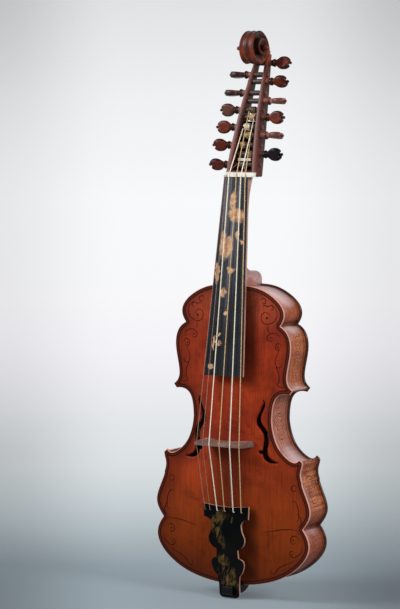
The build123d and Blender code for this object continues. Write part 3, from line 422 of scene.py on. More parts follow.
# The hole's inner side is cut wider, by an amount that fades out over a short way at both tips.
HOLE_WIDER, FADE_OUT = 1.6, 8.0
inner_side = np.arange(len(hole)) < len(hole) // 2 + 6
to_tips = (hole_left[0][1] - hole[:, 1], hole_left[-1][0] - hole[:, 0])
fading = np.clip(to_tips[0] / FADE_OUT, 0, 1) * np.clip(to_tips[1] / FADE_OUT, 0, 1)
hole[:, 0] -= HOLE_WIDER * inner_side * fading
holes = [hole * (side, 1) for side in (1, -1)]

# The face's points are rings along the rim, which carry the purfling, and a square grid inside.
RING_INSETS, GRID_STEP = (2.4, 3.5, 4.4, 5.2, 6.0, 7.2), 2.2
grid_x, grid_z = np.meshgrid(np.arange(-110, 110, GRID_STEP), np.arange(0, 372, GRID_STEP))
middle_points = np.stack([grid_x.ravel(), grid_z.ravel()], axis=1)
middle_points = middle_points[inside(rim, middle_points)]
middle_points = middle_points[distance_to(rim, middle_points) > 8.2]
ring_points = np.vstack([drawn_in(rim, inset) for inset in RING_INSETS])
kept = distance_to(rim, ring_points) > np.repeat(RING_INSETS, len(rim)) - 0.15
ring_points = ring_points[kept & inside(rim, ring_points)]
face_points = np.vstack([ring_points, middle_points])
for loop in holes:
    face_points = face_points[~inside(loop, face_points) & (distance_to(loop, face_points) > 0.9)]
face_rim = unfolded(rim, EDGE_ROUND)
bounds = [face_rim] + holes
firsts = np.cumsum([0] + [len(loop) for loop in bounds])
loop_numbers = [np.arange(first, after) for first, after in zip(firsts, firsts[1:])]
constraints = [
    pair for numbers in loop_numbers for pair in zip(numbers.tolist(), np.roll(numbers, -1).tolist())
]
flat_points = np.vstack(bounds + [face_points])
made = delaunay_2d_cdt([Vector(p) for p in flat_points.tolist()], constraints, [], 0, 1e-4)
flat = np.array([tuple(p) for p in made[0]])
triangles = np.array(made[2])
centres = flat[triangles].mean(axis=1)
on_wood = inside(face_rim, centres)
for loop in holes:
    on_wood &= ~inside(loop, centres)
triangles = triangles[on_wood]
top = np.stack([flat[:, 0], belly_depth(*flat.T), flat[:, 1]], axis=1)
under = top + (0, BELLY_BACK - BELLY_FRONT, 0)
rings = edge_rings(rim, BELLY_FRONT, BELLY_BACK)
count = len(flat)
belly_faces = triangles.tolist() + (triangles + count).tolist()
for numbers in loop_numbers[1:]:
    after = np.roll(numbers, -1)
    belly_faces += np.stack([numbers, after, after + count, numbers + count], axis=1).tolist()
belly_faces += grid_faces(rings, first=2 * count, capped=False)
belly_points = np.vstack([top, under, rings.reshape(-1, 3)])

spruce = Finish("belly_varnish")
grain = spruce.noise(760.0, 2.0, stretch=(1.0, 0.2, 0.03))
cloud = spruce.noise(14.0, 5.0, rough=0.65)
# Noise for the darker worn mottles, which also breaks up the painted edge highlight below.
wear_and_edge_highlight = spruce.noise(34.0, 6.0, warp=0.6, rough=0.7)
from_edge = spruce.mark("from_edge")
up = spruce.axis("Z")
low = up.above(0.2, 0.05)
across = spruce.axis("X")
tone = spruce.layers(
    spruce.mix(cloud.above(0.35, 0.65), colour(130, 42, 24), colour(176, 62, 30)),
    (up.above(0.3, 0.36) * 0.4, (186, 92, 68)),
    (low * 0.8, (146, 62, 14)),
    (grain.above(0.45, 0.75) * 0.4, (84, 26, 12)),
    (wear_and_edge_highlight.above(0.5, 0.74) * 0.5, (74, 26, 14)),
    (from_edge.above(38.0, 4.0) * across.above(0.02, -0.05) * 0.4, (66, 26, 18)),
    (up.above(0.11, 0.0) * 0.6, (52, 18, 4)),
    # Painted shadows: a darker patch below the bridge and darker strips right of the tailpiece and
    # right of the fingerboard.
    (across.near(0.002, 0.008, 0.03) * up.near(0.13, 0.02, 0.05) * 0.5, (52, 18, 10)),
    (across.near(0.028, 0.004, 0.013) * up.near(0.05, 0.035, 0.02) * 0.6, (36, 12, 5)),
    (across.near(0.026, 0.004, 0.012) * up.near(0.31, 0.05, 0.02) * 0.6, (36, 13, 8)),
    (from_edge.above(13.0, 4.0) * 0.4, (76, 28, 18)),
    (from_edge.above(5.2, 4.6) * 0.6, (70, 26, 17)),
    (from_edge.near(4.5, 0.5, 0.4) * 0.8, (26, 10, 8)),
    (from_edge.near(1.3, 0.5, 0.6) * 0.7, (28, 11, 9)),
    # A pale salmon line on the very edge: painted highlight of light grazing the belly's rounded edge.
    (from_edge.above(0.9, 0.3) * wear_and_edge_highlight.above(0.2, 0.5), (226, 158, 138)),
)
belly_finish = spruce.paint({
    "Base Color": tone,
    "Roughness": 0.42 + 0.12 * cloud,
    "Specular IOR Level": 0.06,
    "Normal": spruce.bump(grain, 0.1, 0.2),
})
belly = new_piece("belly_plate", belly_points, belly_faces, belly_finish)
mark_points(belly, "from_edge", from_rim)
settle(belly, "body", "belly_wood", "belly")

# Scrollwork
# Curling vines burnt thin and dark into the belly's varnish, the same on both sides.
# Each is a ribbon that lies on the arch and tapers to its ends.
vines = [
    [(39.2, 352.1), (42.7, 355.2), (46.5, 353.5), (46.6, 349.8), (43.8, 348.6), (42.5, 351.0)],
    [(42.5, 347.0), (45.5, 346.9), (49.7, 345.6), (54.0, 347.0), (57.5, 345.0), (56.4, 342.0),
     (53.0, 342.0)],
    [(55.2, 348.4), (61.5, 342.1), (62.6, 333.6), (57.2, 326.7), (48.4, 323.9), (42.0, 327.6),
     (41.4, 334.5), (46.3, 338.6), (51.5, 336.5), (52.8, 331.8)],
    [(67.9, 304.5), (65.8, 310.7), (60.0, 313.4), (54.0, 312.8), (49.8, 309.0), (51.0, 304.8),
     (55.2, 304.0), (57.2, 307.5)],
    [(69.5, 296.0), (66.8, 301.2), (62.3, 299.8), (61.0, 295.5), (64.5, 292.4), (67.3, 295.5)],
    [(51.2, 322.2), (50.0, 318.0), (52.6, 313.7)],
    [(66.6, 293.8), (62.4, 286.3), (60.4, 278.8), (62.5, 271.7), (65.3, 264.5), (66.0, 256.0),
     (63.6, 250.4), (68.1, 248.3), (75.1, 248.9)],
    [(60.4, 279.8), (62.0, 273.6), (66.0, 271.8), (69.2, 274.6), (67.0, 277.8)],
    [(48.0, 70.0), (57.7, 71.5), (68.9, 74.1), (82.8, 75.3), (92.9, 75.1)],
    [(90.8, 127.4), (87.5, 129.9), (83.8, 127.6), (84.2, 123.6), (88.1, 122.7), (90.0, 125.8)],
    [(83.5, 109.5), (88.2, 110.8), (92.3, 104.1), (94.0, 94.6), (93.1, 88.5), (90.4, 85.3)],
    [(92.0, 96.0), (96.9, 88.7), (97.0, 82.7), (93.8, 78.8)],
    [(92.5, 66.5), (88.4, 68.0), (83.6, 65.5), (83.0, 60.8), (86.8, 58.0), (90.2, 61.2)],
    [(98.1, 55.7), (97.9, 49.0), (92.5, 44.3), (86.5, 41.1), (81.7, 44.8), (83.8, 49.2),
     (88.4, 47.6)],
    [(91.0, 40.6), (83.0, 34.9), (72.0, 30.1), (64.5, 24.5), (59.8, 18.5), (55.6, 21.5),
     (57.8, 25.6)],
]
dots = [
    (49.0, 331.4, 1.5), (64.0, 296.4, 1.0), (54.2, 308.0, 1.0), (86.8, 62.6, 1.1), (85.4, 45.2, 1.0),
]
VINE_WIDTH, VINE_LIFT = 1.0, 0.07


def laid_on(x, z):
    """Points a hair above the belly's arch."""
    return np.stack([x, belly_depth(x, z) - VINE_LIFT, z], axis=1)


vine_points, vine_faces = [], []
for side in (1, -1):
    for vine in vines:
        line = curve_through(vine, 6) * (side, 1)
        way = np.gradient(line, axis=0)
        across = way[:, ::-1] * (-1, 1) / np.linalg.norm(way, axis=1)[:, None]
        share = np.linspace(0, 1, len(line))[:, None]
        spread = across * VINE_WIDTH * (0.2 + 0.8 * np.sin(math.pi * share) ** 0.6) / 2
        first = sum(len(p) for p in vine_points)
        vine_points += [laid_on(*(line + spread).T), laid_on(*(line - spread).T)]
        low = np.arange(first, first + len(line) - 1)
        vine_faces += np.stack([low, low + 1, low + 1 + len(line), low + len(line)], axis=1).tolist()
    for x, z, radius in dots:
        turn = np.linspace(0, 2 * math.pi, 13)[:-1]
        first = sum(len(p) for p in vine_points)
        vine_points.append(laid_on(side * x + radius * np.cos(turn), z + radius * np.sin(turn)))
        vine_faces.append(list(range(first, first + len(turn))))
ink = Finish("burnt_line")
fade = ink.noise(30.0, 3.0)
ink_finish = ink.paint({
    "Base Color": ink.mix(fade.above(0.4, 0.7), colour(30, 8, 6), colour(74, 24, 14)),
    "Roughness": 0.5,
    "Specular IOR Level": 0.05,
})
scrollwork = new_piece("scrollwork", np.vstack(vine_points), vine_faces, ink_finish)
settle(scrollwork, "body", "belly_wood")

# Ribs
# Thin strips of flamed maple bent to the outline, engraved with a border and curling vines.
# They are glued between back and belly and butted at the corners and cusps.
OUTER_INSET, INNER_INSET = 2.6, 4.2
walls = [np.insert(drawn_in(rim, inset), 1, depth, axis=1) for inset, depth in (
    (OUTER_INSET, BELLY_BACK), (OUTER_INSET, BACK_FRONT),
    (INNER_INSET, BACK_FRONT), (INNER_INSET, BELLY_BACK),
)]
maple = Finish("rib_varnish")
up = maple.axis("Z")
depth = (maple.axis("Y") - (BELLY_BACK + BACK_FRONT) / 2 * MM) * (1 / MM)
along = maple.mark("along")
flame_spot = maple.node("ShaderNodeCombineXYZ", {}, {0: along * 0.15, 1: depth * 0.012, 2: 0.0})
flame = maple.node("ShaderNodeTexNoise", {}, {"Vector": flame_spot, "Scale": 1.6, "Detail": 2.0})
cloud = maple.noise(28.0, 4.0, stretch=(1.0, 0.45, 1.0), rough=0.6)
fine = maple.noise(200.0, 4.0, stretch=(1.0, 0.45, 1.0))
tone = maple.layers(
    maple.mix(cloud.above(0.35, 0.68), colour(186, 102, 62), colour(222, 138, 88)),
    (up.above(0.105, 0.085) * 0.8, (160, 82, 58)),
    (up.above(0.155, 0.175) * up.above(0.262, 0.24) * 0.7, (194, 122, 104)),
    (up.above(0.31, 0.33) * 0.7, (190, 96, 58)),
)
flamed = 0.25 + 0.5 * up.above(0.085, 0.11) * up.above(0.17, 0.15)
tone = maple.layers(
    tone,
    (flame.above(0.42, 0.6) * flamed, (126, 58, 28)),
    (fine.above(0.5, 0.8) * 0.4, (98, 48, 36)),
)
# Each curl of the engraving is a spiral, 1 turn for every 3.4 mm outward, that wanders a little.
CURL, SPIRAL = 17.0, 3.4
bent = along.math("PINGPONG", along, CURL) - CURL / 2 + 9.0 * (maple.noise(60.0, 2.0) - 0.5)
swept = depth + 14.0 * (maple.noise(45.0, 2.0, stretch=(1.0, 1.0, 1.3)) - 0.5)
from_curl = maple.node(
    "ShaderNodeVectorMath",
    {"operation": "LENGTH"},
    {0: maple.node("ShaderNodeCombineXYZ", {}, {0: bent, 1: swept, 2: 0.0})},
    output="Value",
)
angle = swept.math("ARCTAN2", swept, bent)
winding_on = angle * (1 / (2 * math.pi)) - from_curl * (1 / SPIRAL) + 8.0
curl = winding_on.math("PINGPONG", winding_on, 0.5)
curl = curl.above(0.24, 0.08) * from_curl.above(11.5, 10.5)
border = depth.near(15.5, 0.4, 0.5) + depth.near(-15.5, 0.4, 0.5) + depth.near(-12.6, 0.25, 0.5)
engraved = (curl + border).above(0.2, 0.9)
tone = maple.layers(
    tone,
    (depth.above(-9.0, -15.0) * 0.5, (178, 128, 132)),
    (engraved * 0.8, (84, 38, 38)),
    # Darker at the upper and lower cusps: painted shade where the ribs turn inward.
    (up.near(0.3235, 0.0015, 0.005) * 0.7, (58, 30, 26)),
    (up.near(0.0775, 0.0015, 0.005) * 0.6, (64, 34, 30)),
)
# Upward-facing parts of the ribs are paled to lavender grey: painted highlight of light from above.
highlight_facing_up = maple.node(
    "ShaderNodeSeparateXYZ", {}, {0: maple.node("ShaderNodeNewGeometry", output="Normal")}, output="Z"
)
tone = maple.mix(highlight_facing_up.above(0.35, 0.85) * 0.75, tone, colour(222, 198, 200))
rib_finish = maple.paint({
    "Base Color": tone,
    "Roughness": 0.36 + 0.15 * cloud,
    "Specular IOR Level": 0.25,
    "Normal": maple.bump(engraved, -0.5, 0.25),
})
ribs = skin("ribs", np.array(walls), rib_finish, round_rows=True, capped=False)
steps = np.linalg.norm(np.roll(rim, -1, axis=0) - rim, axis=1)
top_middle = np.argmax(rim[:, 1] - 10 * np.abs(rim[:, 0]))
gone = np.concatenate([[0], np.cumsum(steps)[:-1]])
gone = np.abs(gone - gone[top_middle])
gone = np.minimum(gone, steps.sum() - gone)


def way_round(x, y, z):
    """How far along the rim, from the top centre down, the nearest rim point lies."""
    near = [np.argmin((rim[:, 0] - a) ** 2 + (rim[:, 1] - b) ** 2) for a, b in zip(x, z)]
    return gone[near]


mark_points(ribs, "along", way_round)
settle(
    ribs, "body", "rib_wood", "rib_tail",
    *["rib_" + zone + "_" + side for zone in ("shoulder", "upper_lobe", "waist", "lower_lobe")
      for side in ("bass", "treble")],
)

# Blocks, linings, bass bar and sound post
# Plain spruce inside the body, left bare and darkened with age.
bare = Finish("bare_spruce")
grain = bare.noise(300.0, 3.0, stretch=(1.0, 1.0, 0.03))
inner_finish = bare.paint({
    "Base Color": bare.mix(grain.above(0.4, 0.7), colour(62, 42, 28), colour(40, 27, 18)),
    "Roughness": 0.75,
    "Normal": bare.bump(grain, 0.3, 0.2),
})


def dress(material, *nodes):
    """Gives CAD nodes that stay as they are their finish."""
    for node in nodes:
        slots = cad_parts[node].material_slots
        if not slots:
            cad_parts[node].data.materials.append(None)
        slots[0].link = "OBJECT"
        slots[0].material = material


dress(inner_finish, "top_block", "tail_block", "corner_blocks", "cusp_blocks", "linings",
      "bass_bar", "sound_post")

# Bridge
# Openwork maple, grey-brown with age, standing on two feet on the arch.
aged = Finish("bridge_maple")
fleck = aged.noise(240.0, 3.0, stretch=(0.35, 1.0, 1.0))
cloud = aged.noise(60.0, 3.0)
tone = aged.mix(cloud.above(0.35, 0.7), colour(120, 88, 80), colour(152, 118, 108))
bridge_finish = aged.paint({
    "Base Color": aged.mix(fleck.above(0.5, 0.75) * 0.5, tone, colour(82, 56, 50)),
    "Roughness": 0.5,
    "Coat Weight": 0.15,
    "Normal": aged.bump(fleck, 0.25, 0.2),
})
dress(bridge_finish, "bridge")

# Fingerboard
# A pale wooden core under a polished tortoiseshell veneer, blue-black with clear amber patches.
core = Finish("pale_core")
grain = core.noise(200.0, 3.0, stretch=(1.0, 1.0, 0.05))
core_finish = core.paint({
    "Base Color": core.mix(grain.above(0.4, 0.7), colour(196, 150, 132), colour(160, 112, 94)),
    "Roughness": 0.45,
    "Coat Weight": 0.2,
})
dress(core_finish, "fingerboard", "tailpiece")


def patch(finish, ragged, x, z, half_width, half_height, tilt=0.0):
    """1 inside a ragged-edged ellipse at (x, z) millimetres, its long axis turned by tilt degrees."""
    sockets = {
        "Vector": ragged,
        "Location": (x * MM, 0, z * MM),
        "Rotation": (0, math.radians(tilt), 0),
        "Scale": (half_width * MM, 1000, half_height * MM),
    }
    spot = finish.node("ShaderNodeMapping", {"vector_type": "TEXTURE"}, sockets)
    reach = finish.node("ShaderNodeVectorMath", {"operation": "LENGTH"}, {0: spot}, output="Value")
    return reach.above(1.25, 0.75)


def tortoiseshell(name, patches, dark, amber, shine=0.4, reflection_share=0.0, streaky=0.0):
    """Polished tortoiseshell: dark shell with the listed amber patches, their edges ragged
    and, if it is streaky, broken into slanting streaks. A painted reflection, streaks of bluish grey
    along the middle, is laid on in the given share."""
    shell = Finish(name)
    wander = shell.node(
        "ShaderNodeTexNoise", {}, {"Vector": shell.spot, "Scale": 110.0, "Detail": 4.0}, output="Color"
    )
    ragged = shell.node("ShaderNodeVectorMath", {"operation": "SCALE"}, {0: wander, "Scale": 0.011})
    ragged = shell.node("ShaderNodeVectorMath", {"operation": "ADD"}, {0: shell.spot, 1: ragged})
    drift = 5.5
    spots = [patch(shell, ragged, x + drift, z + drift, *extent) for x, z, *extent in patches]
    clear = spots[0]
    for other in spots[1:]:
        clear = clear.math("MAXIMUM", clear, other)
    fleck = shell.noise(160.0, 4.0, rough=0.7)
    cloud = shell.noise(34.0, 3.0)
    tone = shell.mix(cloud.above(0.35, 0.7), dark[0], dark[1])
    reflection_band = shell.noise(170.0, 2.0, stretch=(1.0, 0.0, 0.03)).above(0.42, 0.6) * reflection_share
    reflection_band = reflection_band * shell.axis("X").near(-0.007, 0.006, 0.01) * shell.axis("Z").above(0.28, 0.46)
    tone = shell.mix(reflection_band, tone, colour(120, 124, 136))
    glow = shell.mix(fleck.above(0.35, 0.7), amber[0], amber[1])
    slant = shell.node("ShaderNodeMapping", {}, {"Vector": shell.spot, "Rotation": (0, -0.35, 0)})
    slant = shell.node("ShaderNodeMapping", {}, {"Vector": slant, "Scale": (1.0, 1.0, 0.3)})
    sockets = {"Vector": slant, "Scale": 190.0, "Detail": 5.0, "Roughness": 0.65, "Distortion": 0.8}
    broken = shell.node("ShaderNodeTexNoise", {}, sockets)
    broken = broken.above(0.24 + 0.2 * streaky, 0.4 + 0.2 * streaky)
    tone = shell.mix(clear * broken, tone, glow)
    return shell.paint({
        "Base Color": tone,
        "Roughness": 0.3,
        "Specular IOR Level": shine,
        "Coat Weight": shine,
        "Coat Roughness": 0.08,
        "Normal": shell.bump(cloud, 0.1, 0.4),
    })


board_patches = [
    (-4.6, 471.5, 4.4, 12.5), (-1.0, 456.5, 8.8, 8.0), (7.0, 453.6, 5.0, 7.5, 20),
    (4.2, 429.2, 3.0, 5.0), (10.4, 422.0, 2.8, 3.0), (-8.4, 414.8, 6.2, 13.5, 8),
    (-15.6, 419.4, 3.4, 17.0), (-1.4, 387.8, 4.8, 4.4), (-8.9, 360.2, 3.6, 5.5),
    (-3.2, 336.2, 2.8, 3.0), (-9.5, 310.4, 2.6, 2.0), (-9.2, 299.6, 3.2, 3.2),
    (-17.0, 300.0, 1.6, 9.0), (-19.5, 270.6, 3.8, 3.3), (-20.0, 384.0, 2.2, 12.0),
]
# The board's finish carries a painted reflection: bluish-grey streaks along its middle.
board_finish = tortoiseshell(
    "board_shell", board_patches, dark=(colour(14, 18, 26), colour(28, 34, 44)),
    amber=(colour(226, 182, 142), colour(176, 120, 78)), reflection_share=0.75,
)
dress(board_finish, "fingerboard_veneer")

# Neck
# Maple, worn smooth and pale by the hand, with its heel against the ribs.
worn = Finish("neck_varnish")
figure = worn.noise(60.0, 3.0, stretch=(0.3, 1.0, 2.0))
cloud = worn.noise(24.0, 3.0)
tone = worn.mix(cloud.above(0.35, 0.7), colour(168, 110, 102), colour(206, 156, 150))
tone = worn.mix(figure.above(0.5, 0.75) * 0.5, tone, colour(140, 84, 74))
neck_finish = worn.paint({
    "Base Color": tone,
    "Roughness": 0.32,
    "Coat Weight": 0.3,
    "Coat Roughness": 0.15,
    "Normal": worn.bump(figure, 0.1, 0.3),
})
# The shaft keeps its width under the board and is slimmed towards its rounded back.
BOARD_LOW_Z, BOARD_TILT, SLIMMED = 260.0, 0.1449, 0.42
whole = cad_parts["neck"]
spots = spots_of(whole)
x, y, z = spots.T
glued = -60.5 + BOARD_TILT * (z - BOARD_LOW_Z)
behind = np.clip((y - glued) / 12.0, 0, 1)
slim = np.clip((z - 383.0) / 22.0, 0, 1) * np.clip((500.0 - z) / 30.0, 0, 1)
middle = -0.7 - 3.0 * (z - BOARD_LOW_Z) / 241.5
spots[:, 0] = middle + (x - middle) * (1 - SLIMMED * behind * slim)
neck_faces = [list(face.vertices) for face in whole.data.polygons]
settle(new_piece("neck_shaft", spots, neck_faces, neck_finish), "body", "neck_maple", "neck")

# Head
# One block of varnished maple: two cheeks joined by a floor behind the lower pegs,
# and above them a scroll of a little over two turns that widens towards its eyes.
NUT_Z, PEGBOX_TOP = 501.5, 652.0


def front_of(z):
    """Depth of the cheeks' front edge: a parabola that sweeps back from the nut."""
    return -28.1 + 0.18 * (z - NUT_Z) + 0.0012 * (z - NUT_Z) ** 2


def back_of(z):
    """Depth of the cheeks' back edge: deepest in the middle, drawn in towards the scroll."""
    share = (z - NUT_Z) / (PEGBOX_TOP - NUT_Z)
    return front_of(z) + 16.5 - 9.0 * share + 32.0 * share * (1 - share)


def outer_half(z):
    """Half width of the pegbox, tapering evenly to the scroll."""
    return 21.7 - 12.4 * (z - NUT_Z) / 145.5


def cheek(z):
    """Thickness of one cheek, tapering evenly to the scroll."""
    return 6.5 - 2.7 * (z - NUT_Z) / 145.5


def slab(name, heights, sides, faces, material, round_off=1.0):
    """A bar along z whose rounded rectangular section runs from sides(z) to faces(z)."""
    turn = np.linspace(0, math.pi / 2, 4)
    corner = [(1 - math.cos(t), 1 - math.sin(t)) for t in turn]
    slope = 0.7 * round_off
    draws = [slope] + [0.0] * len(heights) + [slope]
    lifts = [0.0, slope] + [0.0] * (len(heights) - 2) + [-slope, 0.0]
    rings = []
    for z, draw, lift in zip([heights[0], *heights, heights[-1]], draws, lifts):
        (x0, x1), (y0, y1) = sides(z), faces(z)
        x0, x1, y0, y1 = x0 + draw, x1 - draw, y0 + draw, y1 - draw
        across = [(a * round_off, b * round_off) for a, b in corner]
        ring = [(x0 + a, y0 + b) for a, b in across]
        ring += [(x1 - a, y0 + b) for a, b in reversed(across)]
        ring += [(x1 - a, y1 - b) for a, b in across]
        ring += [(x0 + a, y1 - b) for a, b in reversed(across)]
        rings.append(np.insert(np.array(ring), 2, z + lift, axis=1))
    return skin(name, np.array(rings), material)


red = Finish("head_varnish")
figure = red.noise(80.0, 4.0, stretch=(1.0, 1.0, 0.35), warp=0.5)
cloud = red.noise(30.0, 4.0, rough=0.6)
worn_off = red.mark("worn")
up = red.axis("Z")
tone = red.layers(
    red.mix(cloud.above(0.35, 0.7), colour(88, 34, 20), colour(128, 52, 27)),
    (up.above(0.646, 0.64) * 0.6, (84, 42, 38)),
    # An orange-red band round the scroll's lower front and the pegbox top: painted highlight of the
    # side light.
    (up.near(0.649, 0.005, 0.008) * 0.55, (164, 74, 38)),
    # Darker on top of the scroll: painted shade in its grooves.
    (up.above(0.667, 0.677) * 0.6, (56, 24, 17)),
    (figure.above(0.42, 0.68) * 0.7, (44, 17, 13)),
    (worn_off * (0.25 + 0.75 * cloud), (128, 74, 66)),
    # Near black deep in the pegbox and between the scroll's turns: painted shade in the hollows.
    (red.mark("shade_in_hollows"), (16, 8, 7)),
)
head_finish = red.paint({
    "Base Color": tone,
    "Roughness": 0.36 + 0.15 * cloud,
    "Specular IOR Level": 0.3,
    "Normal": red.bump(figure, 0.15, 0.3),
})
pieces = []
for side, name in ((-1, "bass_cheek"), (1, "treble_cheek")):
    pieces.append(slab(
        name, np.linspace(NUT_Z, PEGBOX_TOP, 48),
        lambda z: sorted((side * outer_half(z), side * (outer_half(z) - cheek(z)))),
        lambda z: (front_of(z), back_of(z)), head_finish,
    ))
    mark_points(pieces[-1], "worn", lambda x, y, z: np.clip(1.4 - (y - front_of(z)) / 1.2, 0, 1) * (
        0.15 + 0.85 * (x < side * (outer_half(z) - cheek(z) / 2))))


def between_cheeks(z):
    """Sides of a piece that runs from within one cheek to within the other."""
    return 3.0 - outer_half(z), outer_half(z) - 3.0


pieces += [
    slab("pegbox_floor", np.linspace(508.0, 569.0, 24), between_cheeks,
         lambda z: (back_of(z) - 3.2, back_of(z)), head_finish),
    slab("pegbox_foot", np.linspace(NUT_Z, 509.0, 4), between_cheeks,
         lambda z: (front_of(z), back_of(z)), head_finish),
    slab("pegbox_crown", np.linspace(646.0, 656.0, 6), lambda z: (-7.0, 7.0),
         lambda z: (front_of(z) + 0.5, back_of(z) - 0.3), head_finish),
]
SCROLL_X, SCROLL_Y, SCROLL_Z = -1.6, 8.0, 659.0
turn_at = np.array([-25, 0, 45, 90, 180, 270, 360, 450, 540, 630, 720, 810, 1200])
radius_at = np.array([27.4, 24.4, 21.4, 21.4, 22.0, 19.6, 15.0, 12.2, 10.0, 7.8, 5.8, 4.0, 0.6])
width_at = np.array([8.8, 8.4, 8.2, 8.4, 9.8, 10.8, 11.2, 11.8, 12.8, 14.0, 15.2, 16.4, 16.4])
turned = np.linspace(-25, 810, 240)


def eased(values):
    """Values along the spiral between its stations, rounded over a few steps."""
    rough = np.interp(turned, turn_at, values)
    return np.convolve(np.pad(rough, 8, mode="edge"), np.hanning(19)[1:-1] / 9.0, mode="valid")


outer, half = eased(radius_at), eased(width_at)
inner_radius = np.where(turned < 450, np.interp(turned + 360, turn_at, radius_at) - 0.8, 0.4)
top_shares = np.linspace(-0.9, 0.9, 37)
flute = np.clip((np.abs(top_shares) - 0.07) / 0.75, 0, 1)
drops = np.concatenate([[1.4, 0.5], 0.7 * np.sin(math.pi * flute) ** 0.8, [0.5, 1.4]])
shares = np.concatenate([[-1.0, -0.96], top_shares, [0.96, 1.0]])
x = half[:, None] * shares
radius = outer[:, None] - drops * np.clip(outer / 20.0, 0.25, 1.0)[:, None]
wall_shares = np.array([0.85, 0.5, 0.15, 0.0])
wall = inner_radius[:, None] + (radius[:, -1] - inner_radius)[:, None] * wall_shares
cut_in = np.clip(outer / 14.0, 0.3, 1.0)[:, None] * np.array([0.5, 2.4, 3.2, 3.4])
radius = np.hstack([wall[:, ::-1], radius, wall])
x = np.hstack([-(half[:, None] - cut_in)[:, ::-1], x, half[:, None] - cut_in])
angle = np.radians(turned)[:, None]
volute = np.stack([
    x + SCROLL_X, SCROLL_Y + radius * np.cos(angle), SCROLL_Z + radius * np.sin(angle)
], axis=-1)
pieces.append(skin("scroll", volute, head_finish))
eye_turn = np.linspace(0, 2 * math.pi, 33)[:-1]
for side in (-1, 1):
    eye = np.array([(0.2, 20.4), (1.4, 20.2), (2.1, 19.6), (2.5, 18.8), (2.6, 17.6), (2.8, 13.0)])
    eye[:, 1] += 4.0 * (side < 0)
    ring = np.stack([
        np.broadcast_to(side * eye[:, 1:] + SCROLL_X, (6, 32)),
        SCROLL_Y + eye[:, :1] * np.cos(eye_turn),
        SCROLL_Z + eye[:, :1] * np.sin(eye_turn),
    ], axis=-1)
    pieces.append(skin("eye_bass" if side < 0 else "eye_treble", ring, head_finish))
# Painted shade, strongest deep inside the pegbox, on the inner faces of cheeks, floor, foot and crown.
for piece in pieces[:-3]:
    mark_points(piece, "shade_in_hollows", lambda x, y, z: 0.75 * np.clip(
        (outer_half(z) - 2.0 - np.abs(x)) / 1.0, 0, 1) * np.clip((y - front_of(z) - 1.0) / 4.0, 0, 1))
# Painted shade on the scroll: on its side walls and, past the first turn, on its inner turns.
shade_in_hollows = np.zeros(volute.shape[:2])
shade_in_hollows[turned > 300] = 0.8
shade_in_hollows[:, 4:6] = shade_in_hollows[:, -6:-4] = 0.1
shade_in_hollows[:, :3] = np.array([1.0, 1.0, 0.8])
shade_in_hollows[:, -3:] = shade_in_hollows[:, :3][:, ::-1]
pieces[-3].data.attributes.new("shade_in_hollows", "FLOAT", "POINT").data.foreach_set("value", shade_in_hollows.ravel())
for piece in pieces:
    settle(piece, "body", "neck_maple", *(["head"] if piece.name == "scroll" else []))

# Nut and string rest
# Bone, yellowish white: the nut across the board's end, the rest low in the pegbox.
ivory = Finish("bone")
speck = ivory.noise(240.0, 3.0)
bone_finish = ivory.paint({
    "Base Color": ivory.mix(speck.above(0.45, 0.75), colour(240, 236, 226), colour(214, 204, 186)),
    "Roughness": 0.35,
    "Subsurface Weight": 0.1,
    "Subsurface Scale": 0.002,
})
dress(bone_finish, "nut", "string_rest")

# Pegs
# Turned shafts that widen to a ringed collar and a flattened heart-shaped head
# with a notch and a small pip; each fits tightly through both cheeks.
# Each row gives a peg's name, its height, how far its head is turned, and its wood.
PEG_OUT = 8.5
peg_rows = [
    ("peg_bass_1", 516.0, 40, 0), ("peg_treble_1", 529.0, 20, 1), ("peg_bass_2", 540.0, 30, 0),
    ("peg_treble_2", 552.0, 80, 2), ("peg_bass_3", 562.0, 0, 0), ("peg_treble_3", 574.0, 0, 0),
    ("peg_bass_4", 583.0, 10, 3), ("peg_treble_4", 594.0, 88, 2), ("peg_bass_5", 604.0, 86, 3),
    ("peg_treble_5", 618.0, 35, 0), ("peg_bass_6", 626.5, 84, 3), ("peg_treble_6", 641.0, -20, 0),
]


def peg_depth(z):
    """Depth of a peg's axis behind the face of the board."""
    return front_of(z) + 10.0 - 5.1 * (z - 516.0) / 125.0


def turned_piece(profile, count=28):
    """Rings of a turned shape about the x axis, from (x, radius) pairs."""
    turn = np.linspace(0, 2 * math.pi, count + 1)[:-1]
    profile = np.asarray(profile, float)
    return np.stack([
        np.broadcast_to(profile[:, :1], (len(profile), count)),
        profile[:, 1:] * np.cos(turn),
        profile[:, 1:] * np.sin(turn),
    ], axis=-1)


heart_right = curve_through([
    (-0.5, 2.4), (3.2, 4.4), (7.0, 7.2), (11.6, 8.2), (16.2, 7.6), (19.6, 5.4), (20.2, 3.4),
    (19.0, 2.0), (18.6, 1.2),
], 5)
heart = np.vstack([heart_right, heart_right[::-1] * (1, -1)])
HEART_MIDDLE = np.array([11.0, 0.0])
heart_rings = []
for share in np.sin(np.linspace(0.0, math.pi / 2, 12)):
    long, wide = (HEART_MIDDLE + (heart - HEART_MIDDLE) * (0.02 + 0.98 * share)).T
    thick = (3.0 + 0.06 * long) * (1 - share**9) ** 0.5
    heart_rings.append(np.stack([long, thick, wide], axis=1))
heart_front = np.array(heart_rings)
heart_grid = np.vstack([heart_front, heart_front[-2::-1] * (1, -1, 1)])


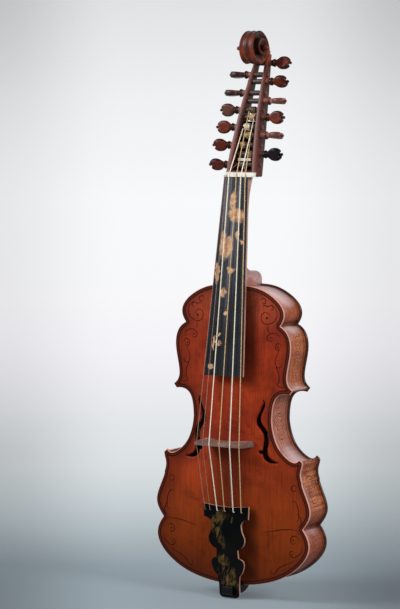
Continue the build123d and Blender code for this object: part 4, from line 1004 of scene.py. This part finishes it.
def peg_wood(name, light, dark, rim_dark):
    """Reddish boxwood, darker at the rim of the head and on the collar."""
    wood = Finish(name)
    figure = wood.noise(220.0, 3.0, stretch=(0.4, 1.0, 1.0), warp=0.4)
    cloud = wood.noise(120.0, 3.0)
    tone = wood.mix(cloud.above(0.35, 0.7), light, dark)
    tone = wood.mix(figure.above(0.45, 0.8) * 0.5, tone, rim_dark)
    tone = wood.mix(wood.mark("rim"), tone, rim_dark)
    tone = wood.layers(
        tone,
        (wood.mark("shaft") * 0.8, (150, 96, 76)),
        # Painted shade on the pegs within the pegbox.
        (wood.mark("inside"), (62, 50, 42)),
    )
    return wood.paint({
        "Base Color": tone,
        "Roughness": 0.34 + 0.1 * cloud,
        "Specular IOR Level": 0.3,
        "Normal": wood.bump(figure, 0.12, 0.2),
    })


peg_finishes = [
    peg_wood("peg_red", colour(128, 50, 28), colour(88, 34, 22), colour(28, 14, 12)),
    peg_wood("peg_black", colour(34, 20, 22), colour(20, 14, 18), colour(8, 6, 8)),
    peg_wood("peg_light", colour(186, 120, 106), colour(156, 88, 74), colour(84, 44, 38)),
    peg_wood("peg_grey", colour(112, 66, 54), colour(84, 50, 42), colour(34, 22, 20)),
]
for name, z, turn, kind in peg_rows:
    side = -1 if "bass" in name else 1
    out = outer_half(z)
    far, near = -out - 1.6, out + PEG_OUT
    shaft = turned_piece([
        (far, 0.3), (far, 2.7), (far + 0.4, 3.1), (0.6 - out, 3.11), (1.6 - out, 3.13),
        (out - 1.6, 3.54), (out - 0.6, 3.57), (near, 3.7), (near + 1, 0.3),
    ])
    ring = turned_piece([
        (near - 3.4, 3.5), (near - 3.2, 4.2), (near - 2.6, 4.4), (near - 2.1, 4.0), (near - 1.7, 4.6),
        (near - 0.9, 5.1), (near, 4.9), (near + 0.7, 4.0), (near + 1.6, 3.2), (near + 3.6, 2.6),
    ])
    pip = turned_piece([
        (near + 17.0, 1.0), (near + 19.6, 1.1), (near + 20.2, 1.7), (near + 21.4, 2.0),
        (near + 22.6, 1.6), (near + 23.4, 0.5),
    ], 14)
    points, faces = [], []
    for grid in (shaft, ring, pip, heart_grid + (near, 0, 0)):
        faces += grid_faces(grid, first=sum(len(p) for p in points))
        points.append(grid.reshape(-1, 3))
    lean = math.radians(turn)
    long, thick, wide = np.vstack(points).T
    peg_points = np.stack([
        side * long,
        thick * math.cos(lean) - wide * math.sin(lean) + peg_depth(z),
        thick * math.sin(lean) + wide * math.cos(lean) + z,
    ], axis=1)
    peg = new_piece(name + "_turned", peg_points, faces, peg_finishes[kind])

    def rim_mark(x, y, height):
        """Dark on the collar and round the edge of the heart."""
        collar = np.abs(side * x - near + 0.6) < 2.2
        off_axis = np.hypot(y - peg_depth(z), height - z)
        edge = np.hypot((side * x - near - HEART_MIDDLE[0]) / 10.4, off_axis / 8.2) > 0.93
        return np.clip(0.85 * collar + 0.8 * edge * (side * x > near + 2.0), 0, 1)

    def pegbox_shade_mark(x, y, height):
        """Painted shade within the pegbox, a little lighter where the far end comes out."""
        return 0.9 * (side * x < out - 1.0) - 0.2 * (side * x < 1.0 - out)

    mark_points(peg, "rim", rim_mark)
    mark_points(peg, "shaft", lambda x, y, height: np.clip((near - 3.5 - side * x) * 2.0, 0, 0.85))
    mark_points(peg, "inside", pegbox_shade_mark)
    settle(peg, name + "_turning", "peg_wood", name)

# Tailpiece
# The same pale core and tortoiseshell, darker and more mottled, hooked over the bar below.
tail_patches = [
    (-8.0, 84.0, 7.0, 13.0, 15), (-14.0, 72.0, 7.0, 14.0, -20), (-8.0, 60.0, 4.0, 14.0, -25),
    (6.0, 84.0, 4.0, 5.0), (-5.0, 32.0, 7.0, 9.0, -15), (-2.0, 16.0, 13.0, 10.0),
    (2.0, 2.0, 12.0, 8.0),
]
tail_finish = tortoiseshell(
    "tail_shell", tail_patches, dark=(colour(4, 4, 5), colour(12, 9, 8)),
    amber=(colour(100, 78, 42), colour(40, 30, 14)), shine=0.08, streaky=1.0,
)
dress(tail_finish, "tailpiece_veneer")

# Saddle and hook bar
# Black hardwood: the saddle let into the belly's edge, the bar that holds the tailpiece.
ebony = Finish("black_hardwood")
grain = ebony.noise(260.0, 3.0, stretch=(1.0, 1.0, 0.1))
ebony_finish = ebony.paint({
    "Base Color": ebony.mix(grain.above(0.4, 0.7), colour(6, 5, 6), colour(18, 14, 14)),
    "Roughness": 0.35,
    "Specular IOR Level": 0.25,
})
dress(ebony_finish, "saddle", "hook_bar")

# Hitch pin
# A small brass pin in the belly's edge that holds the wire string's loop.
brass = Finish("brass")
tarnish = brass.noise(300.0, 3.0)
brass_finish = brass.paint({
    "Base Color": brass.mix(tarnish, colour(196, 156, 92), colour(120, 90, 52)),
    "Metallic": 1.0,
    "Roughness": 0.3 + 0.2 * tarnish,
})
dress(brass_finish, "hitch_pin")

# Strings
# Six of gut and one of wire, drawn tight from the tailpiece over bridge and nut;
# the thickest two are pale, the next two golden and the thinnest brownish.


def drawn(corners, bends):
    """A path along straight runs through corners, each corner rounded to an arc of its bend."""
    corners = np.asarray(corners, float)
    path = [corners[0]]
    for before, corner, after, bend in zip(corners, corners[1:], corners[2:], bends):
        u, v = before - corner, after - corner
        u, v = u / np.linalg.norm(u), v / np.linalg.norm(v)
        half_angle = math.acos(np.clip(u @ v, -1, 1)) / 2
        mid = (u + v) / np.linalg.norm(u + v)
        centre = corner + mid * bend / math.sin(half_angle)
        cut = bend / math.tan(half_angle)
        first, last = corner + u * cut - centre, corner + v * cut - centre
        for share in np.linspace(0, 1, 7):
            spoke = first * (1 - share) + last * share
            path.append(centre + spoke / np.linalg.norm(spoke) * bend)
    path.append(corners[-1])
    return np.array(path)


def cord_rings(path, radius, count=10):
    """Rings of a round cord along a path, each ring square to it and free of twist."""
    ways = np.gradient(path, axis=0)
    ways /= np.linalg.norm(ways, axis=1)[:, None]
    side = np.cross(ways[0], (0.3, 0.9, 0.1))
    turn = np.linspace(0, 2 * math.pi, count + 1)[:-1]
    rings = []
    for spot, way in zip(path, ways):
        side = side - way * (side @ way)
        side /= np.linalg.norm(side)
        other = np.cross(way, side)
        rings.append(spot + radius * (np.outer(np.cos(turn), side) + np.outer(np.sin(turn), other)))
    return np.array(rings)


def cord_finish(name, light, dark, metal=0.0):
    """Twisted gut or wire, with fine cross streaks."""
    cord = Finish(name)
    streak = cord.noise(900.0, 2.0, stretch=(0.4, 0.4, 1.0))
    return cord.paint({
        "Base Color": cord.mix(streak.above(0.35, 0.75), light, dark),
        "Roughness": 0.35,
        "Metallic": metal,
        "Coat Weight": 0.2,
    })


pale_gut = cord_finish("pale_gut", colour(255, 246, 226), colour(236, 220, 190))
gold_gut = cord_finish("gold_gut", colour(222, 190, 140), colour(188, 150, 104))
thin_gut = cord_finish("thin_gut", colour(168, 140, 122), colour(132, 104, 88))
steel = cord_finish("steel_wire", colour(190, 180, 166), colour(150, 138, 124), 0.6)
TAIL_FACE_Y, HOLE_Z, BRIDGE_Z, NUT_TOP_Y, NUT_DEEP = -61.74, 92.5, 177.0, -33.7, 5.5
BRIDGE_TOP_Y, BRIDGE_DROP, BRIDGE_HALF = -83.4, 2.0, 32.2
# Each row: name, peg, gauge, x at tailpiece, bridge, nut and winding, the way it winds, its turns.
string_rows = [
    ("string_1", "peg_bass_1", 0.6, -28.0, -29.8, -19.0, -8.0, 1, 6, thin_gut, 0.34),
    ("string_2", "peg_bass_2", 0.6, -21.0, -20.6, -16.2, -9.0, 1, 6, thin_gut, 0.34),
    ("string_3", "peg_bass_3", 1.0, -10.8, -11.0, -12.8, -6.7, 1, 5, pale_gut, 0.62),
    ("string_4", "peg_bass_4", 1.0, -0.4, 3.4, -2.2, -2.5, 1, 5, gold_gut, 0.54),
    ("string_5", "peg_treble_3", 1.0, 12.0, 17.9, 4.2, 6.6, -1, 5, pale_gut, 0.62),
    ("string_6", "peg_treble_2", 1.0, 23.2, 30.4, 10.4, 5.0, -1, 5, gold_gut, 0.54),
]
peg_heights = {name: z for name, z, turn, kind in peg_rows}


def shaft_at(peg, x):
    """Radius of a peg's shaft where it crosses the half width x."""
    side, out = (-1 if "bass" in peg else 1), outer_half(peg_heights[peg])
    return 3.1 + 0.6 * (side * x + out + 1.6) / (2 * out + 10.1)


def coil(peg, x, drift, turns, diameter, last_bend):
    """A string's end wound on its peg, as a helix with short straight ends, and where it is met."""
    z = peg_heights[peg]
    centre = np.array([peg_depth(z), z])
    pitch = diameter + 0.5
    far = x + drift * turns * pitch
    radius = max(shaft_at(peg, x), shaft_at(peg, far)) + diameter / 2 + 0.08
    apart = np.array(last_bend[1:]) - centre
    start = math.atan2(apart[1], apart[0]) - math.acos(radius / np.linalg.norm(apart))
    touch = np.array([x, centre[0] + radius * math.cos(start), centre[1] + radius * math.sin(start)])
    way = (touch - last_bend) / np.linalg.norm(touch - last_bend)
    clear = math.sqrt((radius + diameter / 2 + 0.5) ** 2 - (radius - diameter / 2) ** 2)
    step = np.linspace(0, turns, turns * 28 + 1)
    angle = start - 2 * math.pi * step
    helix = np.stack([
        x + drift * pitch * step, centre[0] + radius * np.cos(angle), centre[1] + radius * np.sin(angle)
    ], axis=1)
    lead_in, lead_out = helix[0] - helix[1], helix[-1] - helix[-2]
    helix = np.vstack([
        helix[0] + lead_in / np.linalg.norm(lead_in) * diameter, helix,
        helix[-1] + lead_out / np.linalg.norm(lead_out) * diameter,
    ])
    return helix, touch - way * clear


def string_up(name, peg, corners, bends, winding, finish, radius, slot):
    """One string and the winding on its peg, which age has turned its own colour."""
    x, drift, turns, diameter, wound_finish = winding
    helix, stop = coil(peg, x, drift, turns, diameter, np.array(corners[-1], float))
    path = drawn(corners + [stop], bends)
    settle(skin(name + "_drawn", cord_rings(path, radius), finish), "body", slot, name)
    wound = skin(name + "_coiled", cord_rings(helix, max(radius, diameter / 2)), wound_finish)
    settle(wound, peg + "_turning", slot, name + "_winding")


dull_gut = cord_finish("dull_gut", colour(128, 112, 84), colour(86, 72, 52))
wound_finishes = [thin_gut, gold_gut, pale_gut, dull_gut, gold_gut, gold_gut]
for row, wound_finish in zip(string_rows, wound_finishes):
    name, peg, d, tail_x, bridge_x, nut_x, coil_x, drift, turns, finish, radius = row
    corners = [
        (tail_x, TAIL_FACE_Y + 2.6, HOLE_Z),
        (tail_x, TAIL_FACE_Y - 2.4, HOLE_Z + 0.6),
        (bridge_x, BRIDGE_TOP_Y + BRIDGE_DROP * (bridge_x / BRIDGE_HALF) ** 2 - d / 2, BRIDGE_Z),
        (nut_x, NUT_TOP_Y - d / 2, NUT_Z + NUT_DEEP / 3),
    ]
    winding = (coil_x, drift, turns, d, wound_finish)
    string_up(name, peg, corners, (2.2, 7.0, 7.0), winding, finish, radius, "gut")
wire_corners = [(5.5, -48.2, 10.2), (6.6, -66.0, BRIDGE_Z), (3.6, -46.0, 370.0), (1.6, -18.95, 522.5)]
string_up(
    "sympathetic_string", "peg_treble_1", wire_corners, bends=(30.0, 30.0, 3.0),
    winding=(2.0, 1, 6, 0.5, gold_gut), finish=steel, radius=0.27, slot="steel_wire",
)

# Camera
# A long lens, a little above the belly and well to the treble side, as in the photograph.
SENSOR, IMAGE_HEIGHT, FOCAL_PIXELS = 36.0, 609, 2444.6
right, upward = Vector((0.85557, 0.51767, 0.00117)), Vector((-0.04166, 0.06661, 0.99691))
ahead = Vector((-0.51599, 0.85298, -0.07856))
lens = bpy.data.cameras.new("camera")
lens.sensor_width = SENSOR
lens.lens = FOCAL_PIXELS / IMAGE_HEIGHT * SENSOR
camera = bpy.data.objects.new("camera", lens)
camera.matrix_world = Matrix((
    (right.x, upward.x, -ahead.x, 1.5077),
    (right.y, upward.y, -ahead.y, -2.6155),
    (right.z, upward.z, -ahead.z, 0.5807),
    (0, 0, 0, 1),
))
lens.clip_end = 100.0
bpy.context.scene.collection.objects.link(camera)
bpy.context.scene.camera = camera
bpy.context.scene.view_settings.view_transform = "Standard"

# Light, floor and backdrop
# A large soft lamp from the upper left, a weaker one from the right and a pale surround.
# Paper runs level under the instrument and sweeps up behind it, blue-grey near and white above;
# from behind it is clear, so that the instrument can be looked at from every side.
FLOOR = -17.0


def lamp(name, place, aim, width, power):
    """A square soft lamp at a place in metres, aimed at a point."""
    light = bpy.data.lights.new(name, "AREA")
    light.size = width
    light.energy = power
    holder = bpy.data.objects.new(name, light)
    holder.matrix_world = Matrix.Translation(place) @ (
        Vector(aim) - Vector(place)
    ).to_track_quat("-Z", "Y").to_matrix().to_4x4()
    bpy.context.scene.collection.objects.link(holder)


lamp("key_lamp", (-2.0, -1.9, 2.0), (0, 0, 0.3), 1.3, 80.0)
lamp("side_lamp", (2.4, -0.5, 1.5), (0, 0, 0.3), 1.0, 40.0)
world = bpy.data.worlds.new("surround")
world.use_nodes = True
bpy.context.scene.world = world
sky = world.node_tree.nodes["Background"]
dim = world.node_tree.nodes.new("ShaderNodeBackground")
for shade, strength in ((sky, 0.42), (dim, 0.07)):
    shade.inputs["Color"].default_value = (1.0, 1.0, 1.0, 1.0)
    shade.inputs["Strength"].default_value = strength
ray = world.node_tree.nodes.new("ShaderNodeLightPath")
blend = world.node_tree.nodes.new("ShaderNodeMixShader")
links = world.node_tree.links
links.new(ray.outputs["Is Glossy Ray"], blend.inputs[0])
links.new(sky.outputs[0], blend.inputs[1])
links.new(dim.outputs[0], blend.inputs[2])
links.new(blend.outputs[0], world.node_tree.nodes["World Output"].inputs[0])

# The sweep is painted by how far back and up a spot lies, in metres; towards both sides of the view
# it is darkened by painted shade, by the spot's distance from the view's middle over its distance from
# the lens.
VIEW_TURN, LENS_BACK, LENS_ASIDE = 31.17, 3.018, 0.064
paper = Finish("paper")
turned_spot = paper.node(
    "ShaderNodeMapping", {}, {"Vector": paper.spot, "Rotation": (0, 0, math.radians(-VIEW_TURN))}
)
aside, back_way, height = (
    paper.node("ShaderNodeSeparateXYZ", {}, {0: turned_spot}, output=name) for name in "XYZ"
)
way_back = back_way + height
stops = [
    (0.16, (148, 160, 168)), (0.30, (161, 172, 178)), (0.46, (179, 190, 194)), (0.64, (196, 205, 210)),
    (0.83, (208, 216, 218)), (1.05, (219, 224, 227)), (1.49, (225, 229, 232)), (1.66, (234, 235, 239)),
    (1.86, (244, 243, 248)), (2.03, (248, 248, 250)), (2.30, (248, 249, 251)), (2.51, (239, 240, 242)),
    (2.70, (225, 226, 228)),
]
tone = colour(*stops[0][1])
for (low, _), (high, seen) in zip(stops, stops[1:]):
    share = paper.node(
        "ShaderNodeMapRange", {}, {"Value": way_back, "From Min": low, "From Max": high}
    )
    tone = paper.mix(share, tone, colour(*seen))
leaning = (aside + LENS_ASIDE).size()
leaning = leaning.math("DIVIDE", leaning, back_way + LENS_BACK)
dimmed = (
    0.16 + 0.16 * way_back.above(2.0, 1.2) + 0.14 * way_back.above(2.35, 2.75)
    + 0.12 * way_back.above(0.3, 0.0)
)
tone = paper.mix(leaning.above(0.03, 0.088) * dimmed, tone, (0.0, 0.0, 0.0, 1.0))
paper_finish = paper.paint({"Base Color": tone, "Roughness": 0.9, "Specular IOR Level": 0.0})
matt = Value(paper, paper.shader.outputs[0])
glow = paper.node("ShaderNodeEmission", {}, {"Color": tone, "Strength": 1.0})
glowing = way_back.above(0.2, 1.3) * 0.7 + 0.3
lit = paper.node("ShaderNodeMixShader", {}, {0: glowing, 1: matt, 2: glow})
behind = paper.node("ShaderNodeNewGeometry", output="Backfacing")
clear = paper.node("ShaderNodeBsdfTransparent")
one_sided = paper.node("ShaderNodeMixShader", {}, {0: behind, 1: lit, 2: clear})
paper.fill(paper.tree.nodes["Material Output"].inputs[0], one_sided)
BEND_START, BEND, NEAR_END, TOP, HALF_WIDTH = 1400.0, 500.0, -6000.0, 4500.0, 4000.0
bend = np.linspace(0, math.pi / 2, 13)
run = np.concatenate([[NEAR_END, -2000.0, 0.0], BEND_START + BEND * np.sin(bend), [BEND_START + BEND]])
rise = np.concatenate([[0.0, 0.0, 0.0], BEND * (1 - np.cos(bend)), [TOP]]) + FLOOR
side_way = np.linspace(-HALF_WIDTH, HALF_WIDTH, 9)
cos_turn, sin_turn = 0.8556, 0.5176
sheet = np.stack(np.broadcast_arrays(
    cos_turn * side_way - sin_turn * run[:, None],
    sin_turn * side_way + cos_turn * run[:, None],
    rise[:, None],
), axis=-1)
sweep = skin("paper_sweep", sheet, paper_finish, capped=False, round_columns=False)
sweep.data.flip_normals()
